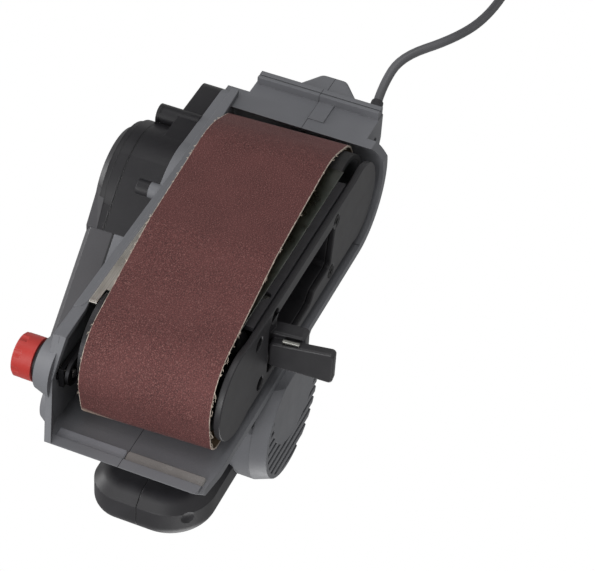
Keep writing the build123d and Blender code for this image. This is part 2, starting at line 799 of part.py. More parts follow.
motor_bearings = [
    tube(motor_x, motor_z, bearing_radius, shaft_seat, motor_right_y - 3, motor_right_y + 3),
    tube(motor_x, motor_z, bearing_radius, shaft_seat, wall_out_y - 3, wall_out_y - 3 + bearing_width),
]
nodes["motor_bearings"] = group(motor_bearings)

# Housing body before it is parted into halves
shell_side = disc(wrap_x, axle_height, wrap_outer_radius) + outline(
    (wrap_x, sill_z),
    (nose_sill_x, sill_z),
    (nose_x, nose_z),
    (nose_x - nose_slope, roof_z),
    (wrap_x, roof_z),
)
shell_side -= Pos(0, sill_z - 50) * Rectangle(600, 100)
channel_side = disc(wrap_x, axle_height, wrap_inner_radius) + outline(
    (wrap_x, -50), (nose_x + 30, -50), (nose_x + 30, ceiling_z), (wrap_x, ceiling_z)
)
lip_side = outline(
    (nose_x - nose_lip, nose_z),
    (nose_x, nose_z),
    (nose_x - nose_slope, roof_z),
    (nose_x - nose_lip - 4, roof_z),
)
plate_middle = ((plate_rear_x + plate_front_x) / 2, (plate_low_z + plate_high_z) / 2)
case_plate = Pos(*plate_middle) * RectangleRounded(
    plate_front_x - plate_rear_x, plate_high_z - plate_low_z, plate_fillet
)
case_side = hull_of(disc(drum_x, drum_z, drum_radius), disc(motor_x, motor_z, tail_radius))
case_inner = hull_of(
    disc(drum_x, drum_z, drum_radius - cover_wall), disc(motor_x, motor_z, tail_radius - cover_wall)
)
foot_side = outline(
    (foot_front_x, foot_bottom),
    (foot_rear_x, foot_bottom),
    (foot_rear_x, foot_heel_z),
    (foot_rear_x + 6, foot_shoulder_z),
    (foot_rear_x + 26, foot_top_z),
    (foot_front_x, foot_top_z),
)
wing_rear_x = plate_rear_x - 3
foot_wing = outline(
    (foot_front_x, foot_bottom),
    (wing_rear_x, foot_bottom),
    (wing_rear_x, foot_shoulder_z),
    (foot_front_x, foot_shoulder_z),
)
neck_low = roof_z - 3
neck_high = motor_z - neck_drop
neck_side = outline(
    (neck_rear_x, neck_low),
    (neck_front_x, neck_low),
    (motor_x + neck_half, neck_high),
    (motor_x - neck_half, neck_high),
)
body = slab(shell_side, hood_right_y, wall_in_y)
body += slab(foot_side, foot_right_y, foot_left_y)
body += slab(foot_wing, 0, pad_y)
body += slab(neck_side, motor_right_y, wall_out_y)
body += rod(motor_x, motor_z, motor_radius, motor_right_y, wall_out_y)
pillar_front_x = pillar_x + 16
pillar_plan = outline(
    (pillar_front_x, pillar_half),
    (pillar_x + 2, pillar_half),
    (pillar_x - 14, pillar_half - 11),
    (pillar_x - 14, 13 - pillar_half),
    (pillar_x + 2, -pillar_half),
    (pillar_front_x, -pillar_half),
)
pillar_rear = pillar_plan.vertices().filter_by(lambda v: v.X < pillar_front_x - 1)
pillar = extrude(fillet(pillar_rear, 5), amount=pillar_height)
pillar = fillet(pillar.faces().sort_by(Axis.Z)[0].edges(), 3)
body += Pos(0, 0, foot_bottom + 1) * pillar
handle_path = FilletPolyline(
    (motor_x - 18, 0, handle_top_z - 8),
    (handle_crest_x, 0, handle_top_z),
    (handle_turn_x, 0, handle_top_z - handle_fall),
    (pillar_x, 0, handle_top_z - handle_shoulder),
    (pillar_x, 0, pillar_foot_z),
    radius=handle_bend,
)
handle_plane = Plane(origin=handle_path @ 0, x_dir=(0, 1, 0), z_dir=handle_path % 0)
handle_section = RectangleRounded(handle_width, handle_height, handle_fillet)
handle = sweep(handle_plane * handle_section, path=handle_path) - body
body -= slab(channel_side, hood_right_y - 5, wall_in_y)
body += slab(lip_side, motor_right_y, wall_in_y)
body -= block(-200, wrap_x - 12, -100, 100, -20, foot_bottom)
body += block(foot_rear_x, foot_rear_x + bar_width, bar_right_y, bar_left_y, bar_bottom, foot_bottom + 2)
groove_x = foot_rear_x + bar_width / 2
body -= block(
    groove_x, groove_x + bar_groove, bar_right_y - 1, bar_left_y + 1, bar_bottom - 1, bar_bottom + bar_groove
)
band_low = foot_bottom - foot_band_height
body += block(foot_rear_x + bar_width, wrap_x - wrap_inner_radius, -foot_band, 0, band_low, foot_bottom + 1)
body += slab(shell_side, wall_in_y, wall_out_y)

# Nose in plan: the right corner is cut back, the left wall turns in towards the tip
nose_left = outline(
    (nose_turn_x, wall_out_y),
    (nose_x, nose_left_y),
    (nose_x + 10, nose_left_y),
    (nose_x + 10, wall_out_y + 30),
    (nose_turn_x, wall_out_y + 30),
)
nose_right = outline(
    (nose_x + 1, hood_right_y - 10),
    (nose_x + 1, hood_right_y + 6),
    (nose_x - nose_lip, hood_right_y + 2),
    (nose_sill_x, hood_right_y),
    (nose_sill_x - 4, hood_right_y - 10),
)
body -= extrude(nose_left, amount=roof_z + 10)
body -= extrude(nose_right, amount=roof_z + 10)
nose_cheek = outline(
    (nose_turn_x, wall_in_y),
    (nose_turn_x, wall_out_y),
    (nose_x, nose_left_y),
    (nose_x, nose_left_y - wall_thickness),
)
body += extrude(nose_cheek, amount=roof_z) & slab(shell_side, 0, wall_out_y)

# The rear right corner slopes in towards the foot
slope_y = hood_right_y - 30
rear_slope = outline(
    (foot_right_y - 3, 0), (hood_right_y, rear_slope_z), (slope_y, rear_slope_z), (slope_y, 0)
)
body -= extrude(Plane.YZ.offset(-200) * rear_slope, amount=200 + wrap_x - 10)

# Left side: mounting pad of the drive case, knob boss, bearing seats and shaft holes
rear_part = block(-300, tail_split_x, 0, 200, -100, 300)
front_part = block(tail_split_x, 300, 0, 200, -100, 300)
body += slab(case_plate + case_side, wall_out_y, pad_y)
body += slab(case_side, pad_y, tail_pad_y) & front_part
body -= slab(case_inner, tail_floor_y, tail_pad_y + 1) & front_part
lower_boss = rod(lower_boss_x, lower_boss_z, lower_boss_radius, wall_out_y, boss_split_y)
body += lower_boss - slab(case_side, pad_y, boss_split_y + 1)
body += Pos(knob_x, (wall_in_y + knob_boss_y) / 2, axle_height) * Rot(-90, 0, 0) * Cone(
    knob_boss_radius + 2.5, knob_boss_radius - 1, knob_boss_y - wall_in_y
)
body += tube(rear_axle_x, axle_height, seat_radius, bearing_radius, roller_end + 0.8, wall_in_y)
body -= rod(motor_x, motor_z, motor_cavity_radius, motor_right_y - 1, wall_out_y - 5)
body -= rod(motor_x, motor_z, bearing_radius, wall_out_y - 3, tail_pad_y + 1)
body -= rod(motor_x, motor_z, shaft_radius + 1.5, wall_out_y - 6, wall_out_y)
body -= rod(layshaft_x, layshaft_z, bearing_radius, wall_out_y - 1, pad_y + 1)
body -= rod(rear_axle_x, axle_height, bearing_radius, wall_in_y - 2, wall_in_y + 2)
body -= rod(rear_axle_x, axle_height, shaft_radius + 1, wall_in_y, pad_y + 1)
knob_slot = Pos(knob_x + tension_stroke / 2, axle_height) * SlotCenterToCenter(
    tension_stroke, 2 * knob_shaft_radius + 1.2
)
bulge_top_y = wall_out_y + bulge_height
body += Pos(bulge_x, (wall_in_y + bulge_top_y) / 2, axle_height + bulge_rise) * Rot(-90, 0, 0) * Cone(
    bulge_radius, bulge_radius - bulge_height - 1.5, bulge_top_y - wall_in_y
)
body -= slab(knob_slot, wall_in_y - 1, knob_boss_y + 1)

# Trigger, switch and lock button in the front of the D-handle
switch_low = handle_top_z - 4
trigger_low = handle_top_z - handle_height / 2 - trigger_show
trigger_top = switch_low - trigger_travel - 0.5
trigger_room = trigger_half + trigger_gap
trigger_side = trigger_half_width + trigger_gap
handle -= block(
    trigger_x - trigger_room, trigger_x + trigger_room, -trigger_side, trigger_side, trigger_low, switch_low
)
switch_top = switch_low + switch_height
handle -= block(
    trigger_x - switch_half,
    trigger_x + switch_half,
    -switch_half_width,
    switch_half_width,
    switch_low,
    switch_top,
)
switch_y = switch_half_width - switch_gap
nodes["switch"] = block(
    trigger_x - switch_half + switch_gap,
    trigger_x + switch_half - switch_gap,
    -switch_y,
    switch_y,
    switch_low,
    switch_top,
)
trigger = block(
    trigger_x - trigger_half,
    trigger_x + trigger_half,
    -trigger_half_width,
    trigger_half_width,
    trigger_low,
    trigger_top,
)
trigger = fillet(trigger.faces().sort_by(Axis.Z)[0].edges(), 3)
nodes["trigger"] = trigger - rod(trigger_x - 2, trigger_low - 12, 15, -handle_width, handle_width)
button_inner_y = switch_y + button_travel + button_gap
handle -= rod(button_x, button_z, button_radius + button_gap, switch_y - 1, handle_width)
lock_button = rod(button_x, button_z, button_radius, button_inner_y, handle_width / 2 + button_travel + 0.6)
nodes["lock_button"] = fillet(lock_button.faces().sort_by(Axis.Y)[-1].edges(), 1.2)

# Dust outlet at the rear left, opening into the belt channel
outlet_seat_x = wrap_x - wrap_outer_radius + 4
outlet_length = outlet_seat_x - outlet_rear_x
outlet_place = Pos((outlet_seat_x + outlet_rear_x) / 2, outlet_y, outlet_z) * along_x
outlet = outlet_place * Cylinder(outlet_radius, outlet_length)
outlet += Pos(outlet_rear_x + 4, outlet_y, outlet_z) * along_x * Cylinder(outlet_radius + outlet_bead, 3)
outlet_cut = Pos(wrap_x - wrap_inner_radius, outlet_y, outlet_z) * along_x * Cylinder(outlet_bore, 50)
body -= outlet_cut & block(-300, wrap_x - 8, -80, wall_in_y, -10, 200)
outlet -= body
outlet -= outlet_place * Cylinder(outlet_bore, outlet_length + 20)
nodes["dust_outlet"] = outlet.solids().sort_by(SortBy.VOLUME)[-1]

# Cord sleeve in the rear of the foot
cord_way = (Vector(*cord_floor[0]) - Vector(*cord_exit)).normalized()
gland_base = Vector(*cord_exit) - cord_way * gland_length
gland_root = Plane(origin=gland_base, z_dir=cord_way) * Circle(gland_radius)
gland_mouth = Plane(origin=cord_exit, z_dir=cord_way) * Circle(cord_diameter / 2 + gland_tip)
flange = extrude(Plane(origin=gland_base, z_dir=-cord_way) * Circle(gland_radius), amount=gland_flange)
nodes["cord_gland"] = loft([gland_root, gland_mouth]) + flange
body -= flange + extrude(gland_root, amount=gland_length)

# Screws that hold the halves together, sunk in the right half
housing_screw = screw(housing_screw_head, screw_head_length, housing_screw_shank, housing_screw_length)
housing_screws = []
for spot_x, spot_y, spot_z in housing_screw_spots:
    head_end_y = spot_y + screw_head_length
    screw_room = rod(spot_x, spot_z, housing_screw_head, spot_y - 12, head_end_y)
    screw_room += rod(spot_x, spot_z, housing_screw_shank, spot_y, head_end_y + housing_screw_length)
    body -= screw_room
    handle -= screw_room
    housing_screws.append(Pos(spot_x, spot_y, spot_z) * housing_screw)
nodes["housing_screws"] = group(housing_screws)

# Soft grip round the straight run of the D-handle
grip_drop = handle_fall / (handle_crest_x - handle_turn_x)
grip_ends = [(x, 0, handle_top_z + grip_drop * (x - handle_crest_x)) for x in (grip_front_x, grip_rear_x)]
grip_line = Line(*grip_ends)
grip_plane = Plane(origin=grip_line @ 0, x_dir=(0, 1, 0), z_dir=grip_line % 0)
grip_section = RectangleRounded(
    handle_width + 2 * grip_thickness, handle_height + 2 * grip_thickness, handle_fillet + grip_thickness
)
nodes["rear_grip"] = sweep(grip_plane * (grip_section - handle_section), path=grip_line)

right_half = block(-400, 400, -400, 0, -400, 400)
left_half = block(-400, 400, 0, 400, -400, 400)
nodes["housing_right"] = body & right_half
nodes["housing_left"] = body & left_half
nodes["rear_handle_right"] = handle & right_half
nodes["rear_handle_left"] = handle & left_half

# Motor end cap on the right: bevelled face with cooling slots round a plain disc
cap_profile = Plane.XZ * outline((0, 0), (motor_radius, 0), (cap_face_radius, cap_depth), (0, cap_depth))
cap = Pos(motor_x, motor_right_y, motor_z) * Rot(90, 0, 0) * revolve(cap_profile, Axis.Z)
cap -= block(-200, 200, -100, 0, 0, roof_z)
cap -= rod(motor_x, motor_z, bearing_radius, motor_right_y - 3, motor_right_y + 1)
cap -= rod(motor_x, motor_z, shaft_radius + 1, motor_right_y - 4, motor_right_y + 1)
disc_x = motor_x + cap_disc_shift[0]
disc_z = motor_z + cap_disc_shift[1]
plain_disc = rod(disc_x, disc_z, cap_disc_radius, cap_outer_y - 1, motor_right_y)
slot_y = (cap_outer_y - 1, cap_outer_y + slot_depth)
slot_half = motor_radius + 9
slot_zone = rod(motor_x, motor_z, cap_face_radius - slot_margin, *slot_y)
slot_zone += block(motor_x - slot_half, motor_x, *slot_y, 0, 2 * motor_z)
for slot_index in range(-slot_pairs, slot_pairs + 1):
    slot_low = motor_z + slot_index * slot_pitch - slot_width / 2
    slot_high = slot_low + slot_width
    slot = block(motor_x - slot_half, motor_x + slot_half, *slot_y, slot_low, slot_high)
    cap -= (slot - plain_disc) & slot_zone
nodes["motor_cap"] = cap

# Drive case: gear room towards the housing, pulley room towards the cover, and the plate behind the belt
case = slab(case_side, pad_y, drum_seam_y) & rear_part
case += slab(case_plate, pad_y, web_y[1])
case += rod(lower_boss_x, lower_boss_z, lower_boss_radius, boss_split_y, web_y[1])
cover_bosses = []
for angle in cover_boss_angles:
    turn = math.radians(angle)
    boss_x = drum_x + cover_boss_reach * math.cos(turn)
    boss_z = drum_z + cover_boss_reach * math.sin(turn)
    cover_bosses.append((boss_x, boss_z))
    case += rod(boss_x, boss_z, cover_boss_radius, pad_y, drum_seam_y)
case -= slab(case_inner, web_y[1], drum_seam_y + 1)
gear_room = gear_module + 0.95
case -= rod(rear_axle_x, axle_height, gear_module * gear_teeth / 2 + gear_room, pad_y - 1, web_y[0])
case -= rod(layshaft_x, layshaft_z, gear_module * pinion_teeth / 2 + gear_room, pad_y - 1, web_y[1] + 1)

# Drive cover: stepped round cap over the large pulley
crown_radius = drum_radius - 2 * ring_step
cap_rings = rod(drum_x, drum_z, drum_radius, ring_y[0], ring_y[1])
cap_rings += rod(drum_x, drum_z, drum_radius - ring_step, ring_y[1], ring_y[2])
cap_rings += Pos(drum_x, (ring_y[2] + ring_y[3]) / 2, drum_z) * Rot(-90, 0, 0) * Cone(
    crown_radius, crown_radius - ring_slope, ring_y[3] - ring_y[2]
)
lid = slab(case_side, drum_seam_y, ring_y[0]) & rear_part
cover = cap_rings + lid
cover -= rod(layshaft_x, layshaft_z, bearing_radius, drum_seam_y - 1, outer_bearing_y[1])
cover_screw = Rot(0, 0, 180) * screw(
    cover_screw_head, cover_head_length, cover_screw_shank, cover_screw_length
)
boss_end_y = drum_seam_y + cover_boss_height
screw_seat_y = boss_end_y - cover_head_length
screw_tip_y = screw_seat_y - cover_screw_length
cover_screws = []
for boss_x, boss_z in cover_bosses:
    cover += rod(boss_x, boss_z, cover_boss_radius, drum_seam_y, boss_end_y)
    cover -= rod(boss_x, boss_z, cover_screw_head, screw_seat_y, boss_end_y + 1)
    cover -= rod(boss_x, boss_z, cover_screw_shank, drum_seam_y - 1, boss_end_y)
    case -= rod(boss_x, boss_z, cover_screw_shank, screw_tip_y, drum_seam_y + 1)
    cover_screws.append(Pos(boss_x, boss_end_y, boss_z) * cover_screw)
nodes["drive_cover"] = cover
nodes["drive_case"] = case
nodes["cover_screws"] = group(cover_screws)

# Pulley cover: tapered shell from the drum up to the motor pulley
shell = slab(case_side, tail_pad_y, tail_outer_y) & front_part
shell_rim = shell.faces().sort_by(Axis.Y)[-1].edges().filter_by(lambda e: e.center().X > tail_split_x + 1)
shell = chamfer(shell_rim, tail_chamfer)
end_wall = shell & block(tail_split_x, tail_split_x + cover_wall, ring_y[0], 200, -100, 300)
shell -= slab(case_inner, tail_pad_y - 1, tail_outer_y - cover_wall)
nodes["pulley_cover"] = shell + end_wall

# Front handle in two halves, seated on the front of the motor tunnel
grip_root_x = motor_x + front_grip_root
front_grip = block(
    grip_root_x, front_grip_x, front_grip_right_y, front_grip_left_y, front_grip_low, front_grip_high
)
grip_corners = front_grip.edges().filter_by(Axis.Z).group_by(Axis.X)[-1].sort_by(Axis.Y)
front_grip = fillet(grip_corners[0], front_grip_corner)
grip_corners = front_grip.edges().filter_by(Axis.Z).sort_by(Axis.Y).group_by(Axis.Y)[-1].sort_by(Axis.X)
front_grip = fillet(grip_corners[-1], front_grip_left_corner)
top_rim = front_grip.faces().sort_by(Axis.Z)[-1].edges().filter_by(lambda e: e.center().X > grip_root_x + 1)
front_grip = fillet(top_rim, front_grip_round)
low_rim = front_grip.faces().sort_by(Axis.Z)[0].edges().filter_by(lambda e: e.center().X > grip_root_x + 1)
front_grip = chamfer(low_rim, front_grip_bevel)
low_rim = front_grip.faces().sort_by(Axis.Z)[0].edges().filter_by(lambda e: e.center().X > grip_root_x + 1)
front_grip = fillet(low_rim, front_grip_soft)
corner_reach = (front_grip_corner + dimple_radius - dimple_depth) * math.sqrt(0.5)
dimple_x = front_grip_x - front_grip_corner + corner_reach
dimple_y = front_grip_right_y + front_grip_corner - corner_reach
front_grip -= Pos(dimple_x, dimple_y, front_grip_low + dimple_rise) * Sphere(dimple_radius)
front_grip -= rod(motor_x, motor_z, motor_radius, hood_right_y - 10, wall_out_y + 10)
front_grip -= body
grip_right = Pos(0, -front_grip_seam / 2, 0) * right_half
grip_left = Pos(0, front_grip_seam / 2, 0) * left_half
nodes["front_handle_right"] = (front_grip & grip_right).solids().sort_by(SortBy.VOLUME)[-1]
nodes["front_handle_left"] = (front_grip & grip_left).solids().sort_by(SortBy.VOLUME)[-1]

# Tracking knob: lobed grip, dark collar, and a shaft with an eccentric pin in the tracking arm
knob = rod(knob_x, axle_height, knob_radius, knob_inner_y, knob_outer_y)
knob = chamfer(knob.faces().sort_by(Axis.Y)[-1].edges(), 1.0)
lobe_ring = knob_radius + 3.2
for lobe in range(knob_lobes):
    turn = 2 * math.pi * lobe / knob_lobes
    lobe_x = knob_x + lobe_ring * math.cos(turn)
    lobe_z = axle_height + lobe_ring * math.sin(turn)
    knob -= rod(lobe_x, lobe_z, 4.0, knob_outer_y - 5, knob_outer_y + 1)
shaft_end_y = knob_outer_y - knob_cap
nodes["tracking_knob"] = knob - rod(knob_x, axle_height, knob_shaft_radius, knob_inner_y - 1, shaft_end_y)
collar_radius = knob_radius - 2
nodes["knob_collar"] = tube(
    knob_x, axle_height, collar_radius, knob_shaft_radius, knob_boss_y + 0.4, knob_inner_y
)
knob_shaft = rod(knob_x, axle_height, knob_shaft_radius, left_arm_y[0], shaft_end_y)
knob_shaft += rod(knob_x, axle_height + tracking_throw, eccentric_radius, track_arm_y[0], left_arm_y[0])
nodes["knob_shaft"] = knob_shaft

# Tension spring of square wire round the yoke's stem
spring_rise = spring_length - spring_wire
spring_middle = spring_radius - spring_wire / 2
spring_slope = spring_rise / (2 * math.pi * spring_turns)
spring_stations = []
for quarter in range(4 * spring_turns + 1):
    turn = quarter * math.pi / 2
    place = Vector(
        yoke_x - spring_wire / 2 - spring_slope * turn,
        stem_y + spring_middle * math.cos(turn),
        axle_height + spring_middle * math.sin(turn),
    )
    way = Vector(-spring_slope, -spring_middle * math.sin(turn), spring_middle * math.cos(turn)).normalized()
    spring_stations.append((place, way))
spring_path = Wire(biarc_run(spring_stations))
spring_start, spring_way = spring_stations[0]
spring_plane = Plane(origin=spring_start, x_dir=(0, 1, 0), z_dir=spring_way)
spring_section = spring_plane * Rectangle(spring_wire, spring_wire)
nodes["tension_spring"] = sweep(spring_section, path=spring_path)


# Mains cord from the sleeve over the floor, then the put-away length in a coil with its plug
def coil_stations():
    """Points and directions a quarter turn apart: layers spiral in and out and climb as they reverse."""
    slope = coil_pitch / (2 * math.pi)
    radius = coil_radius + coil_pitch * coil_quarters[0] / 8
    height = coil_low_z
    angle = -math.pi / 2
    way = -1
    stations = []

    def add(spread, climb):
        place = Vector(
            coil_centre[0] + radius * math.cos(angle), coil_centre[1] + radius * math.sin(angle), height
        )
        tangent = Vector(
            spread * math.cos(angle) + radius * math.sin(angle),
            spread * math.sin(angle) - radius * math.cos(angle),
            climb,
        )
        stations.append((place, tangent.normalized()))

    add(0, 0)
    for layer, quarters in enumerate(coil_quarters):
        for quarter in range(quarters):
            angle -= math.pi / 2
            radius += way * slope * math.pi / 2
            last = layer == len(coil_quarters) - 1 and quarter == quarters - 1
            add(0 if last else way * slope, 0)
        if layer < len(coil_quarters) - 1:
            angle -= math.pi / 2
            radius += way * slope * math.pi / 4
            height += coil_layer / 2
            add(0, 1.5 * coil_layer / math.pi)
            angle -= math.pi / 2
            radius -= way * slope * math.pi / 4
            height += coil_layer / 2
            way = -way
            add(way * slope, 0)
    return stations


stations = coil_stations()
coil_start = tuple(stations[0][0])
cord_points = [cord_exit] + cord_floor + [coil_start]
cord_radii = route_radii(cord_points)
cord_path = FilletPolyline(*cord_points, radius=cord_radii)
cord_section = Circle(cord_diameter / 2)
power_cord = sweep(Plane(origin=cord_path @ 0, z_dir=cord_path % 0) * cord_section, path=cord_path)
nodes["power_cord"] = power_cord
print("cord radii", [round(r, 1) for r in cord_radii], "length", round(cord_path.length, 1))
print("cord volume ratio", round(power_cord.volume / (cord_section.area * cord_path.length), 4))

coil_end, coil_way = stations[-1]
plug_axis_z = floor_z + plug_height / 2 + 0.5
tail_low = Vector(coil_end.X - tail_run, coil_end.Y, plug_axis_z)
plug_entry = tail_low + coil_way * cord_diameter
coil_edges = biarc_run(stations + [(tail_low, coil_way)])
coil_edges.append(Line(tail_low, plug_entry))
coil_path = Wire(coil_edges)
coil_section = RegularPolygon(cord_diameter / 2, coil_sides)
cord_coil = sweep(Plane(origin=coil_start, z_dir=stations[0][1]) * coil_section, path=coil_path)
nodes["cord_coil"] = cord_coil
sample_count = 700
samples = [coil_path @ (i / sample_count) for i in range(sample_count + 1)]
apart = int(4 * cord_diameter / (coil_path.length / sample_count))
least = min((a - b).length for i, a in enumerate(samples) for b in samples[i + apart :])
print("coil length", round(coil_path.length, 1), "least self gap", round(least - cord_diameter, 2))
print("coil volume ratio", round(cord_coil.volume / (coil_section.area * coil_path.length), 4))

# Tie round the coil's bundle on the far side
bundle_in = coil_radius - coil_pitch - 1.1 - cord_diameter / 2
bundle_out = coil_radius + coil_pitch + tie_play + cord_diameter / 2
bundle_top = coil_low_z + (len(coil_quarters) - 1) * coil_layer + cord_diameter / 2 + tie_play
bundle_low = coil_low_z - cord_diameter / 2 - 0.05
tie_x = coil_centre[0] - (bundle_in + bundle_out) / 2
tie_hole = RectangleRounded(bundle_out - bundle_in, bundle_top - bundle_low, 2)
tie_rim = RectangleRounded(
    bundle_out - bundle_in + 2 * tie_thickness, bundle_top - bundle_low + 2 * tie_thickness, 3
)
tie_side = Pos(tie_x, (bundle_low + bundle_top) / 2) * (tie_rim - tie_hole)
nodes["cord_tie"] = slab(tie_side, coil_centre[1] - tie_width / 2, coil_centre[1] + tie_width / 2)

# Flat two-pin plug lying on the floor
plug_x = plug_entry.X
plug_rear_x = plug_x - plug_length
plug_half = plug_width / 2
plug_plan = outline(
    (plug_x, -5),
    (plug_x, 5),
    (plug_x - plug_neck, 7),
    (plug_x - plug_neck - 8, plug_half),
    (plug_rear_x, plug_half),
    (plug_rear_x, -plug_half),
    (plug_x - plug_neck - 8, -plug_half),
    (plug_x - plug_neck, -7),
)
plug = extrude(plug_plan, amount=plug_height / 2, both=True)
plug = fillet(plug.edges().filter_by(Axis.Z).filter_by(lambda e: e.center().X < plug_x - 1), 3)
plug_rims = plug.faces().filter_by(Plane.XY).edges().filter_by(lambda e: e.center().X < plug_x - 1)
nodes["plug"] = Pos(0, plug_entry.Y, plug_axis_z) * chamfer(plug_rims, 1.6)
plug_pin = Pos(plug_rear_x - plug_pin_length / 2, plug_entry.Y, plug_axis_z) * along_x * Cylinder(
    plug_pin_radius, plug_pin_length
)
nodes["plug_pins"] = group([Pos(0, side * pin_spacing / 2, 0) * plug_pin for side in (-1, 1)])

for name, shape in nodes.items():
    export_step(raised(shape), f"parts/{name}.step")
    print(name, len(shape.solids()), round(shape.volume))
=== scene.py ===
import json
import math
import random

import bmesh
import bpy
from mathutils import Matrix, Vector


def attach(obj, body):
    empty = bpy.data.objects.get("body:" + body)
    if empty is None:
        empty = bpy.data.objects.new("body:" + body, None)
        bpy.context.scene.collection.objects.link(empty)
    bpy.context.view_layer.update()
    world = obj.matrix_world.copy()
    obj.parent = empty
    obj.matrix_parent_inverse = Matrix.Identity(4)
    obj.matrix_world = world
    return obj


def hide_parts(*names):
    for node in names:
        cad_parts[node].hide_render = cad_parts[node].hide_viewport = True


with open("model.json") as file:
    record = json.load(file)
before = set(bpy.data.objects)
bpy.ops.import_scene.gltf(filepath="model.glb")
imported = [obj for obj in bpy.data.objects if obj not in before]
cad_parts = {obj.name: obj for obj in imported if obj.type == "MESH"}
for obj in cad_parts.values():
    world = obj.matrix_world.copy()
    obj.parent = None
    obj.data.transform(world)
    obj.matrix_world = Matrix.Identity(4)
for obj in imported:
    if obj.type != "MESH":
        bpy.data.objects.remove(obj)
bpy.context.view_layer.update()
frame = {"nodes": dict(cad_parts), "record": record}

MM = 0.001
nodes = frame["nodes"]
scene = bpy.context.scene


def linked(name, data):
    """A new object in the scene."""
    made = bpy.data.objects.new(name, data)
    scene.collection.objects.link(made)
    return made


# Camera, in the photograph's place under the sole and in front of the nose
IMAGE_WIDTH = 595
FOCAL_PIXELS = 2397.0
SENSOR_WIDTH = 36.0
CLIP_NEAR = 0.01
CLIP_FAR = 50.0
CAMERA_PLACE = (0.9219, -0.3797, -0.8685)
IMAGE_RIGHT = Vector((-0.3870, -0.9205, -0.0538))
IMAGE_DOWN = Vector((0.6094, -0.2991, 0.7343))
LOOK = Vector((-0.6920, 0.2514, 0.6767))

camera_data = bpy.data.cameras.new("camera")
camera_data.sensor_width = SENSOR_WIDTH
camera_data.lens = FOCAL_PIXELS / IMAGE_WIDTH * SENSOR_WIDTH
camera_data.clip_start = CLIP_NEAR
camera_data.clip_end = CLIP_FAR
camera = linked("camera", camera_data)
turn = Matrix((IMAGE_RIGHT.normalized(), -IMAGE_DOWN.normalized(), -LOOK.normalized())).transposed()
camera.matrix_world = Matrix.Translation(CAMERA_PLACE) @ turn.to_4x4()
scene.camera = camera
scene.view_settings.view_transform = "Standard"


# Mains cord: the route over the floor, then nine turns of the put-away coil and the tail to the plug
CORD_DIAMETER = 5.6
CORD_ROUTE = [
    (-157.0, -30.0, 20.0),
    (-170.4, -28.1, 16.8),
    (-189.0, -31.8, 6.8),
    (-213.8, -55.0, 2.9),
    (-243.0, -66.5, 2.9),
    (-287.8, -68.3, 3.9),
]
CORD_ROUNDNESS = 5
CORD_STEPS = 6
COIL_CENTRE = (-334.8, -31.1)
COIL_RADIUS = 31.0
COIL_PITCH = 6.2
COIL_LAYER = 6.15
COIL_LOW = 3.9
COIL_QUARTERS = [8, 7, 7, 8]
QUARTER_STEPS = 4
TAIL_RUN = 56.0
TAIL_BENDS = (0.25, 0.75)
PLUG_AXIS = 8.0


def coil_points():
    """Points of the coil: each layer spirals in or out and climbs in the half turn where it reverses."""
    swell = 1 / math.cos(math.pi / (4 * QUARTER_STEPS))
    step = math.pi / 2 / QUARTER_STEPS
    slope = COIL_PITCH / (2 * math.pi)
    radius = COIL_RADIUS + COIL_PITCH * COIL_QUARTERS[0] / 8
    height = COIL_LOW
    angle = -math.pi / 2
    way = -1
    points = []

    def add(size, z):
        x = COIL_CENTRE[0] + size * swell * math.cos(angle)
        y = COIL_CENTRE[1] + size * swell * math.sin(angle)
        points.append((x, y, z))

    for layer, quarters in enumerate(COIL_QUARTERS):
        for _ in range(quarters * QUARTER_STEPS):
            angle -= step
            radius += way * slope * step
            add(radius, height)
        if layer < len(COIL_QUARTERS) - 1:
            climb_steps = 2 * QUARTER_STEPS
            for index in range(1, climb_steps + 1):
                share = index / climb_steps
                angle -= step
                swing = way * slope * math.pi / 4 * math.sin(math.pi * share) ** 2
                rise = COIL_LAYER * share * share * (3 - 2 * share)
                add(radius + swing, height + rise)
            height += COIL_LAYER
            way = -way
    end_x = COIL_CENTRE[0]
    end_y = COIL_CENTRE[1] - radius
    points[-1] = (end_x, end_y, height)
    points.append((end_x - TAIL_BENDS[0] * TAIL_RUN, end_y, height))
    points.append((end_x - TAIL_BENDS[1] * TAIL_RUN, end_y, PLUG_AXIS))
    points.append((end_x - TAIL_RUN, end_y, PLUG_AXIS))
    points.append((end_x - TAIL_RUN - CORD_DIAMETER, end_y, PLUG_AXIS))
    return points


def tube_curve(name, roundness):
    """A curve whose lines are round tubes, each as thick as its points say."""
    curve = bpy.data.curves.new(name, "CURVE")
    curve.dimensions = "3D"
    curve.bevel_depth = 1.0
    curve.bevel_resolution = roundness
    curve.use_fill_caps = True
    return curve


def add_tube(curve, places, radius, steps):
    """One smooth line of the curve, led by the given places."""
    line = curve.splines.new("NURBS")
    line.points.add(len(places) - 1)
    for point, place in zip(line.points, places):
        point.co = (*place, 1.0)
        point.radius = radius
    line.order_u = 3
    line.use_endpoint_u = True
    line.resolution_u = steps


cord_places = [[MM * value for value in point] for point in CORD_ROUTE + coil_points()]
cord_curve = tube_curve("mains_cord", CORD_ROUNDNESS)
add_tube(cord_curve, cord_places, MM * CORD_DIAMETER / 2, CORD_STEPS)
mains_cord = linked("mains_cord", cord_curve)
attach(mains_cord, "housing")
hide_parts("power_cord", "cord_coil")
[MM * value for value in CORD_ROUTE[0]]


# Materials
def srgb(code):
    values = [int(code[i : i + 2], 16) / 255 for i in (0, 2, 4)]
    linear = [v / 12.92 if v <= 0.04045 else ((v + 0.055) / 1.055) ** 2.4 for v in values]
    return (*linear, 1.0)


